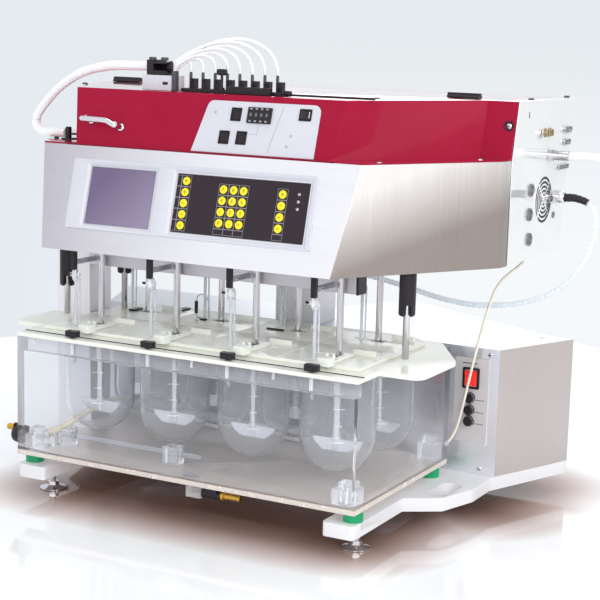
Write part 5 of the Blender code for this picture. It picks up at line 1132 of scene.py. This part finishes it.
# %% Digits
def digit_shape(text, size, matrix):
    """A digit's outline from the built-in face, as a thin raised mesh centred on the origin of a frame."""
    curve = bpy.data.curves.new("digit", "FONT")
    curve.body, curve.size, curve.extrude = text, size, 0.05
    curve.align_x, curve.align_y, curve.resolution_u = "CENTER", "CENTER", 3
    holder_object = bpy.data.objects.new("digit", curve)
    mesh = bpy.data.meshes.new_from_object(holder_object)
    points = np.empty(len(mesh.vertices) * 3)
    mesh.vertices.foreach_get("co", points)
    faces = [list(polygon.vertices) for polygon in mesh.polygons]
    bpy.data.objects.remove(holder_object)
    bpy.data.meshes.remove(mesh)
    return put((points.reshape(-1, 3), faces), matrix)


LABELS = ["7", "8", "9", "4", "5", "6", "1", "2", "3", "0", "-", "+"]
places = [(x, s) for s in MATRIX_S for x in NUMBER_X]
shapes = [digit_shape(text, 6.5, on_front(x, s, 2.3)) for text, (x, s) in zip(LABELS, places)]
shapes += [block((-2.0, 2.0), (-0.4, 0.4), (1.35, 1.55), on_front(x, s)) for x, s in LEFT_KEYS + RIGHT_KEYS]
shapes += [block((-0.4, 0.4), (-2.0, 2.0), (1.35, 1.56), on_front(x, s)) for x, s in LEFT_KEYS[:2] + RIGHT_KEYS[:1]]
piece("key_marks", shapes, KEY_INK, "head")
print("keys", len(KEYS))

# %% [markdown]
# ## Control panel
# The white panel on the red front carries four rockers, a block of thumb wheels and a dividing line. Each rocker
# rides on its own body.

# %% Panel
def panel_place(x, s, height=1.8):
    """A frame on the control panel, which lies on the red front."""
    return on_front(x, s, height, RED_FRONT)


ROCKERS = {"pump": (56.0, 58.2), "reverse": (42.2, 24.5), "speed": (70.2, 25.0)}
softened("control_panel", PANEL, "head", 0.3, 2)
piece("panel_divider", [slab([(130.0, 73), (130.7, 73), (114.7, 6), (114.0, 6)], 1.8, 1.92, RED_FRONT)], PRINT, "head")
piece("panel_lines", [block((94.0, 94.5), (31, 47), (1.8, 1.9), RED_FRONT),
                      block((81.0, 94.5), (31, 31.5), (1.8, 1.9), RED_FRONT)], PRINT, "head")
LAMPS = [(22, 60), (148, 32), (144, 17)]
piece("panel_lamps", [turned([(0, 0), (1.9, 0), (1.9, 0.5), (1.2, 1.2), (0, 1.4)], 20, matrix=panel_place(x, s))
                      for x, s in LAMPS], PLUG_GREY, "head")
piece("rocker_frames", [hollow_frame(8.4, 9.6, 1.5, panel_place(x, s), -0.4, 1.0, 1.0) for x, s in ROCKERS.values()]
      + [hollow_frame(9.6, 8.4, 1.5, panel_place(165.5, 62.5), -0.4, 1.0, 1.0)], BLACK, "head", bevel=0.25)
for name, (x, s) in ROCKERS.items():
    piece(f"{name}_rocker_cap", [put(rocker_shape(12.6, 15.0, 0.4, 1.2), tilt(panel_place(x, s), 7))], BLACK,
          f"{name}_rocker", bevel=0.4, covers=(f"rocker_{name}",))
quarter_turn = panel_place(165.5, 62.5) @ frame_at((0, 0, 0), (0, 1, 0), (-1, 0, 0), (0, 0, 1))
piece("cell_rocker_cap", [put(rocker_shape(12.6, 15.0, 0.4, 1.2), tilt(quarter_turn, 7))], BLACK, "cell_rocker",
      bevel=0.4, covers=("rocker_cell",))
piece("cell_rocker_mark", [put(block((-4.5, 4.5), (-6.6, -5.8), (1.3, 1.75)), tilt(quarter_turn, 7 - 4))],
      PRINT_WHITE, "cell_rocker")

WHEEL_CELLS = [77.4 + 8.5 * i for i in range(4)]
# The wheel windows are dark sheets of painted shade.
piece("wheel_windows", [slab(rounded((x, x + 7.0), (52.6, 63.6), 0.6), 4.75, 4.95, RED_FRONT)
                        for x in WHEEL_CELLS], OPENING_SHADE, "head")
piece("wheel_case", [slab(rounded((75.2, 113.3), (46.7, 69.3), 1.0), 1.8, 4.86, RED_FRONT)], BLACK, "head", bevel=0.4)
piece("wheel_digits", [digit_shape("0", 7.0, on_front(x + 3.5, 58.1, 5.0, RED_FRONT)) for x in WHEEL_CELLS]
      + [slab(rounded((x + 1.8, x + 5.2), low, 0.4), 4.8, 5.5, RED_FRONT) for x in WHEEL_CELLS
         for low in ((48.2, 50.6), (65.6, 68.0))], PRINT, "head")

# %% [markdown]
# The bow handle is a bent tube on two posts. Its path is the CAD's own: a straight run and a bend that drops.

# %% Bow handle
def red_points(points):
    """Points given on the red front, as (x, s, height off it)."""
    return put((np.asarray(points, float), []), RED_FRONT)[0]


BOW = [(-197, 35.4, 18), (-190, 35.4, 18), (-176, 35.2, 18), (-160, 34.8, 18), (-152, 34.4, 17.8), (-147, 33, 17.5),
       (-139, 29.6, 16.8), (-134, 27.8, 16.2)]
bow_path = smooth(red_points(BOW), 6)
ends = np.interp(np.linspace(0, 1, len(bow_path)), [0, 0.03, 0.08, 0.94, 1], [1.6, 3.4, 4.2, 4.2, 3.2])
BOW_POST = [(0, 0.2), (5.4, 0.2), (5.4, 2), (3.6, 3.4)]
piece("bow_tube", [swept(bow_path, ends[:, None], 20),
                   turned(BOW_POST + [(3.6, 18), (0, 18)], 24, matrix=on_front(-188, 37.2, 0, RED_FRONT)),
                   turned(BOW_POST + [(3.6, 15.4), (4.6, 16.4), (4.6, 18.4), (0, 19)], 24,
                          matrix=on_front(-134.5, 29.2, 0, RED_FRONT))],
      CHROME, "head", covers=("bow_handle",))

# %% [markdown]
# ## Sampling beam
# A light beam crosses behind the front shafts. Arms reach from it to the front and the rear, and each ends in a
# black block with a clear winged fitting. From it a tube goes down into the vessel, and a thinner one to the lid.

# %% Beam, arms and fittings
beam = [block((-235, 225), (111, 136), (350, 375))]
beam += [block((x - 10, x + 10), (113, 134), (374, 387.6)) for x in (-137, 137)]
piece("sampling_beam", beam, BEAM, "head", bevel=1.2, covers=("sampling_manifold",))
piece("beam_cap", [block((225, 229), (110, 137), (349, 376))], BLACK, "head", bevel=1.0)
FRONT_TIPS = [(x - 19, 62.0) for x in COLUMNS]
REAR_TIPS = [(x - 24, 221.5) for x in COLUMNS]
TIPS = FRONT_TIPS + REAR_TIPS
arms = [block((x - 3.2, x + 3.2), (y, 112), (357, 364)) for x, y in FRONT_TIPS]
arms += [block((x - 3.2, x + 3.2), (135, y), (357, 364)) for x, y in REAR_TIPS]
piece("beam_arms", arms, PLUG_GREY, "head", bevel=0.8)
piece("arm_clamps", [block((x - 4, x + 4), (y - 9, y - 1), (349, 387)) for x, y in TIPS], BLACK, "head", bevel=1.0)
screws("arm_screws", [facing_front(x + 15, 111, 360) for x, _ in FRONT_TIPS]
       + [facing_right(y + 12, 360.5, x + 3.2) for x, y in TIPS], "head", 3.6, 1.4)


def fitting(x, y):
    """A clear winged body: a turned core and a cross wing."""
    core = turned([(0, 331), (3.6, 331), (5.2, 333), (6.2, 337), (6.2, 345), (4.6, 348.6), (0, 348.6)], 28, (x, y, 0))
    wing = slab(rounded((x - 11, x + 8), (y - 1.4, y + 1.4), 1.2), 337.5, 343.5)
    return [core, wing]


piece("tube_fittings", [shape for x, y in TIPS for shape in fitting(x, y)], CLEAR_BLOCK, "head", bevel=0.4)
piece("fitting_tips", [bar(1.9, -3, 3, 16, round_by=0.5, matrix=facing_right(y, 340.5, x - 12.5)) for x, y in TIPS],
      BLACK, "head")


def dip(x, y, radius, low):
    """An open tube from low to the fitting, with a thin wall."""
    inside = radius * 0.62
    return turned([(radius, low), (radius, 336), (inside, 336), (inside, low)], 20, (x, y, 0), ring_like=True)


piece("dip_tubes", [dip(x + a, y + b, r, low) for x, y in TIPS
                    for a, b, r, low in ((0, 0, 2.4, 205), (5.2, 2.5, 1.3, 262.6))],
      DIP_TUBE, "head")
print("fittings", len(TIPS))

# %% [markdown]
# ## Drive
# A motor turns all eight shafts by a toothed belt. Both are inside the head and show only when it is opened, so
# their CAD solids stay and get their finishes.

# %% Belt and motor
for node, material in (("drive_belt", RUBBER), ("drive_motor", MOTOR)):
    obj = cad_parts[node]
    obj.data.materials.clear()
    obj.data.materials.append(material)

# %% [markdown]
# ## On top of the cover
# The rack holds eight black posts, each with a spout that takes a thin tube, and a wing knob. Beside it a white
# block carries the clamp of the sleeve hose, and a low black grip lies near each end of the top.

# %% Rack, clamp and grips
posts = [block((-56, 110), (86, 108), (623.3, 628.3)), block((24, 96), (79, 86.2), (623.6, 634))]
posts += [block((x + 2.6, x + 11), (97, 107), (628, 636)) for x in POST_X]
posts += [block((x + 2.6 + a, x + 5.0 + a), (97, 107), (635.5, 642.3)) for x in POST_X for a in (0, 6.0)]
piece("rack_posts", posts, BLACK, "head", bevel=0.5, covers=("tube_rack",))
piece("rack_spouts", [turned([(0, 628), (2.3, 628), (2.3, 648.8), (1.7, 651.4), (0, 651.4)], 20, (x, 101.5, 0))
                      for x in RACK_X], MOTOR, "head")
WING_AT = (10, 91)
piece("wing_stem", [turned([(0, 628.2), (4.2, 628.2), (4.2, 631), (2, 632), (2, 650), (0, 650)], 24, WING_AT + (0,))],
      BLACK, "wing")
piece("wing_knob_cap", [slab(rounded((-7.8, 7.8), (-4.5, 4.5), 2.6, 5), -3, 3, facing_front(*WING_AT, 653.1))],
      BLACK, "wing", bevel=1.2, segments=3, covers=("wing_knob",))
piece("tie_block_white", [block((-118, -66.4), (78, 112), (623.3, 645.3))], PANEL, "head", bevel=0.8)
piece("tie_plate", [block((-66, -59), (76, 85), (623.5, 652.3))], MOTOR, "head", bevel=0.6)
# The tie block's hole is painted shade.
piece("tie_holes", [slab(rounded((-4.5, 4.5), (-2.2, 2.2), 1.6), 0.0, 0.3, facing_front(-78, 78, 634))], OPENING_SHADE, "head")
clamp_shapes = [block((-112, -101), (80, 110), (645.6, 667)), block((-101.4, -79), (80, 110), (645.6, 652)),
                block((-101.4, -79), (80, 110), (661.5, 664)), block((-112, -79), (104, 110), (645.6, 664))]
piece("hose_clamp", clamp_shapes, BLACK, "head", bevel=0.9, covers=("tube_clamp",))
piece("clamp_thumbs", [turned([(0, 0), (3, 0), (3, 2), (5.6, 2.4), (5.6, 6.2), (4.8, 7), (0, 7)], 24, (x, 88, 664))
                       for x in (-106.4, -85.6)], MOTOR, "head")

GRIP = [(0, 0.3), (14, 0.3), (14, 2.8), (12.6, 4), (11, 8.2), (3, 8.2), (1.4, 4), (0, 2.8)]
for hand, x in (("left", -303), ("right", 294)):
    side = np.array(GRIP)
    levels = np.stack([np.column_stack((np.full(len(side), end), 303 + side[:, 0], 623 + side[:, 1]))
                       for end in (x - 25.5, x + 25.5)])
    piece(f"top_grip_{hand}", [grid(levels)], BLACK, "head", bevel=1.0, segments=3)
piece("top_rail", [bar(1.7, 0, 135, 14, matrix=frame_at((118, 92, 625.4), (0, 1, 0), (0, 0, 1), (1, 0, 0.002))),
                   bar(4.0, -6, 5, 20, matrix=facing_right(92, 627.2, 118), round_by=0.8)],
      BLACK, "head")

# %% [markdown]
# ## Screws on the cover
# Each screw is a low dome with a slot. Two hold the flange, others the top, and one on the step's front sits in a
# black ring.

# %% Cover screws
FLANGE_TOP, COVER_TOP = 542.3, 623.0
TOP_SCREWS = [(-285, 167), (226, 155), (376, 369), (379, 521)]
screws("flange_screws", [frame_at((x, y, FLANGE_TOP)) for x, y in ((274.6, 67.3), (358.3, 221.3))], "head", 4.2, 2.0)
screws("top_screws", [frame_at((x, y, COVER_TOP)) for x, y in TOP_SCREWS], "head", 4.6, 2.4, MOTOR)
STEP = facing_front(380.5, 271.0, 588.1)
piece("step_ring", [turned([(4.6, -0.3), (7.4, -0.3), (7.4, 1.4), (6.4, 2.2), (4.6, 1.6)], 32, matrix=STEP,
                           ring_like=True)], BLACK, "head")
screws("step_screw", [STEP], "head", 4.5, 2.0)
# The step's hole is painted shade.
piece("step_hole", [bar(1.8, -0.2, 0.25, 16, matrix=facing_front(324.2, 266.0, 588.8))], OPENING_SHADE, "head")

# %% [markdown]
# ## Right side
# The connector panel is one polished plate with the outline of the head's side. Everything on it is set on a frame
# whose axes are rear, up and out.

# %% Side plate
SIDE_OUTLINE = [(262, 388), (482, 388), (522.9, 623), (281, 623), (262, 540)]
SIDE = facing_right(0, 0, 390.3)
piece("side_plate", [slab(SIDE_OUTLINE, 0.0, 1.5, SIDE)], POLISHED_PLATE, "head", bevel=0.5, covers=("side_panel",))
# The side slot is painted shade.
piece("side_slot", [slab(rounded((320.6, 323.4), (598, 607.6), 1.3), 1.45, 1.62, SIDE)], OPENING_SHADE, "head")


def sector(inner, outer, middle, half, steps=10):
    """A ring's sector as an outline: its outer arc, and its inner arc backwards."""
    arc = circle(np.radians(np.linspace(middle - half, middle + half, steps)))
    return np.vstack([outer * arc, (inner * arc)[::-1]])


FAN = facing_right(398, 473.5)
piece("fan_plate", [turned([(0, 0), (36.5, 0), (36.5, 0.8), (35.8, 1.3), (0, 1.3)], 64, matrix=FAN)], POLISHED_PLATE,
      "head")
RINGS = [(31.2, 34.8), (24.6, 28.0), (18.2, 21.4), (12.0, 15.0), (6.0, 8.8)]
# The fan's slots are painted shade.
slots = [slab(sector(a, b, middle, 45 - 140 / b), 1.2, 1.42, FAN) for a, b in RINGS for middle in (0, 90, 180, 270)]
piece("fan_slots", slots, OPENING_SHADE, "head")
piece("fan_hub", [turned([(0, 1.2), (3.4, 1.2), (2.6, 2.2), (0, 2.6)], 24, matrix=FAN)], POLISHED, "head")

SOCKET = [(0, 0.3), (6.6, 0.3), (7.2, 2.6), (8.6, 3.6), (9.5, 3.2), (9.5, 0), (0, -0.1)]
piece("side_sockets", [turned(SOCKET, 40, matrix=facing_right(y, z)) for y, z in ((342, 492), (340, 456), (343, 419))],
      SOCKET_GREY, "head")
PORT_RIM = [(0, 0), (5, 0), (5, 1.4), (3.6, 1.8), (3.2, 0.6), (0, 0.5)]
piece("side_port", [turned(PORT_RIM, 28, matrix=facing_right(448, 446))], SOCKET_GREY, "head")

# %% [markdown]
# Four groups of connectors: shells with a dark mouth, each flanked by two small screws, and a pair of round ones.

# %% Connectors
def connector(y, z, width, height, rise=4.0):
    """A rounded metal shell with an open mouth, as a ring, on the side plate."""
    return hollow_frame(width / 2, height / 2, 1.3, facing_right(y, z), 0.0, rise, min(3.0, height / 3))


SHELLS = [(490, 575, 34, 10.5), (488, 556, 30, 9.5), (477, 518.5, 46, 8.5), (365, 573, 7, 13)]
piece("connector_shells", [connector(*shell) for shell in SHELLS], POLISHED, "head", bevel=0.3)
piece("connector_mouths", [slab(rounded((-w / 2 + 1, w / 2 - 1), (-h / 2 + 1, h / 2 - 1), 1.5), 0.1, 1.6,
                                facing_right(y, z)) for y, z, w, h in SHELLS], SOCKET_GREY, "head")
SHELL_SCREWS = [facing_right(y + k * (w / 2 + 4), z) for y, z, w, _ in SHELLS[:3] for k in (-1, 1)]
screws("connector_screws", SHELL_SCREWS, "head", 2.4, 2.6)
ROUND_SHELL = [(3.4, 0), (7.0, 0), (7.0, 1.2), (5.6, 1.8), (5.6, 6), (3.8, 6), (3.4, 4.6)]
piece("round_connectors", [turned(ROUND_SHELL, 28, matrix=facing_right(y, 574), ring_like=True) for y in (392, 411)],
      DULL_BRASS, "head")
piece("round_connector_cores", [bar(3.5, 0, 3.2, 20, matrix=facing_right(y, 574)) for y in (392, 411)], TUBE, "head")

# %% [markdown]
# The supply hose is held by a plated fitting, and the cable by a barrel plug with a tapered black strain relief.

# %% Fitting, barrel plug and strain relief
HOSE_FITTING = [(0, 0), (9, 0), (9, 3), (7.4, 3.6), (7.4, 6.5), (8.6, 7), (8.6, 12), (7.4, 12.6), (7.4, 18.2),
                (0, 18.2)]
piece("supply_nut", [turned(HOSE_FITTING, 32, matrix=facing_right(409, 540))], CHROME, "head")
piece("supply_ferrule", [turned([(6.2, 18), (7.6, 18.6), (7.6, 34), (6.2, 35)], 28, matrix=facing_right(409, 540),
                                ring_like=True)], POLISHED, "head")
BARREL = [(0, 0), (11, 0), (11, 1.6), (10, 2.2), (10, 9), (9.2, 9.6), (9.2, 10.6), (10, 11.2), (10, 17), (9.0, 17.6),
          (9.0, 18.4), (9.6, 19), (9.6, 27), (8.4, 29.4), (7.4, 30.1), (0, 30.1)]
piece("barrel_plug", [turned(BARREL, 36, matrix=facing_right(412, 477.6))], CHROME, "head")
relief_path = smooth(SPIRAL_ROUTE, 36)[:66]
relief_share = path_length(relief_path) / path_length(relief_path)[-1]
relief_radius = 6.4 - 1.2 * relief_share + 0.2 * np.cos(2 * np.pi * 5 * relief_share)
piece("strain_relief", [swept(relief_path, relief_radius[:, None], 24)], BLACK, "head")
print("relief", round(float(path_length(relief_path)[-1]), 1), "mm")

# %% [markdown]
# On the left a black bracket holds the sleeve hose where it goes back into the machine.

# %% Hose bracket
piece("hose_bracket_block", [block((-270, -252), (85, 103), (541.6, 544.2)),
                             block((-266, -259), (90.5, 97.5), (543, 561)),
                             block((-277, -248), (92, 96), (549, 552))], BLACK, "head", bevel=0.8)
screws("bracket_screw", [frame_at((-285, 94, FLANGE_TOP))], "head", 4.0, 2.4, MOTOR)

# %% [markdown]
# ## Room
# A white glossy table carries the machine, with a painted shadow in warm brown under it. It ends a good metre behind
# it, where the pale backdrop begins: that is the world's own colour, bluish at the left and top and white in the
# middle.

# %% Table
SHADE_REACH = 0.165


def table_finish():
    """Glossy white with a painted shadow in warm brown under the machine; only the camera sees the white part lifted.

    With g = d / SHADE_REACH, where d is the distance from two rectangles under the machine, the colour goes from
    dark to warm brown by g, and on to white by g^2.4.
    """
    material = finish("table_gloss", (243, 244, 246), (248, 249, 251), (0.04, 0.08), skin=0.0, dust=0.0, specular=0.7)
    tree = material.node_tree
    shader = tree.nodes["Principled BSDF"]
    distances = []
    for half, middle in (((0.240, 0.150), (0.0, -0.025)), ((0.340, 0.075), (0.0, 0.145))):
        away = object_place(tree)
        for operation, value in (("SUBTRACT", (*middle, 0.0)), ("ABSOLUTE", None), ("SUBTRACT", (*half, 9.0)),
                                 ("MAXIMUM", (0.0, 0.0, 0.0)), ("LENGTH", None)):
            node = node_in(tree, "VectorMath", {0: away, 1: value} if value else {0: away}, operation=operation)
            away = node.outputs["Value" if operation == "LENGTH" else "Vector"]
        distances.append(away)
    steps = [distances[0]]
    seen = node_in(tree, "LightPath").outputs["Is Camera Ray"]
    for operation, other in (("MINIMUM", distances[1]), ("DIVIDE", SHADE_REACH), ("MINIMUM", 1.0), ("POWER", 2.4),
                             ("MULTIPLY", seen), ("MULTIPLY", 0.12)):
        steps.append(node_in(tree, "Math", {0: steps[-1], 1: other}, operation=operation).outputs[0])
    white = shader.inputs["Base Color"].links[0].from_socket
    # The painted shadow: dark brown at the machine, warm brown further out, then white.
    brown = blended(tree, steps[3], linear((112, 84, 72)), linear((205, 165, 150)))
    tree.links.new(blended(tree, steps[4], brown, white), shader.inputs["Base Color"])
    tree.links.new(steps[6], shader.inputs["Emission Strength"])
    shader.inputs["Emission Color"].default_value = (1.0, 1.0, 1.0, 1.0)
    return material


def table():
    """A square turned to face the camera, closed, with its top at zero."""
    half_side, thick = 1.27, 0.02
    corners = np.array([(-1, -1), (1, -1), (1, 1), (-1, 1)]) * half_side
    turn = np.array([[np.cos(YAW), np.sin(YAW)], [-np.sin(YAW), np.cos(YAW)]])
    points, faces = slab(corners @ turn, -thick, 0.0)
    mesh = bpy.data.meshes.new("table")
    mesh.from_pydata(points.tolist(), [], faces)
    closed(mesh)
    obj = bpy.data.objects.new("table", mesh)
    bpy.context.scene.collection.objects.link(obj)
    obj.data.materials.append(table_finish())


table()

# %% [markdown]
# The world's colour depends on the direction only. Camera, mirror and glass rays see it at full strength, and the
# soft light that it gives is weaker. Low on the right it is a little warmer, so that the plates there show depth.

# %% World
def world_light(soft):
    """Backdrop by direction: bluish to white along x, paler towards the front, warmer to the right and low."""
    world = bpy.data.worlds.new("room")
    bpy.context.scene.world = world
    world.use_nodes = True
    tree = world.node_tree
    back = tree.nodes["Background"]
    split = node_in(tree, "SeparateXYZ", {0: node_in(tree, "TexCoord").outputs["Generated"]})

    def step(axis, low, high):
        """A soft step from 0 to 1 along one axis of the direction."""
        return node_in(tree, "MapRange", {"Value": split.outputs[axis], "From Min": low, "From Max": high},
                       interpolation_type="SMOOTHSTEP").outputs["Result"]

    rising = step("Z", -0.14, 0.02)
    pale = blended(tree, step("X", -0.72, -0.42), linear((222, 230, 237)), linear((246, 249, 251)))
    pale = blended(tree, rising, pale, linear((229, 234, 238)))
    pale = blended(tree, step("Y", 0.1, -0.4), pale, linear((252, 253, 255)))
    side = blended(tree, rising, linear((238, 233, 230)), linear((252, 251, 250)))
    tree.links.new(blended(tree, step("X", 0.60, 0.99), pale, side), back.inputs["Color"])
    path = node_in(tree, "LightPath")
    seen = path.outputs["Is Camera Ray"]
    for output in ("Is Glossy Ray", "Is Transmission Ray"):
        seen = node_in(tree, "Math", {0: seen, 1: path.outputs[output]}, operation="MAXIMUM").outputs[0]
    strength = node_in(tree, "MapRange", {"Value": seen, "To Min": soft, "To Max": 1.0})
    tree.links.new(strength.outputs["Result"], back.inputs["Strength"])


world_light(0.80)

# %% Lamps
def lamp(name, at, towards, size, watts):
    """A square white soft box that looks at a point."""
    data = bpy.data.lights.new(name, "AREA")
    data.shape, data.size, data.energy = "SQUARE", size, watts
    obj = bpy.data.objects.new(name, data)
    away = np.asarray(at, float) - np.asarray(towards, float)
    away /= np.linalg.norm(away)
    side = np.cross((0, 0, 1), away)
    side /= np.linalg.norm(side)
    matrix = np.eye(4)
    matrix[:3, :3] = np.column_stack((side, np.cross(away, side), away))
    matrix[:3, 3] = at
    obj.matrix_world = Matrix(matrix.tolist())
    bpy.context.scene.collection.objects.link(obj)


lamp("key", (1.4, -2.6, 1.3), (0, 0, 0.3), 1.6, 24)
lamp("top", (0.2, 0.3, 2.6), (0, 0, 0.4), 1.8, 16)
lamp("right", (2.6, -0.8, 1.5), (0.2, 0, 0.3), 1.4, 20)
lamp("rear", (-0.6, 2.4, 1.6), (0, 0, 0.35), 1.6, 14)
lamp("left", (-2.4, -1.0, 0.6), (0, 0, 0.25), 1.2, 4)
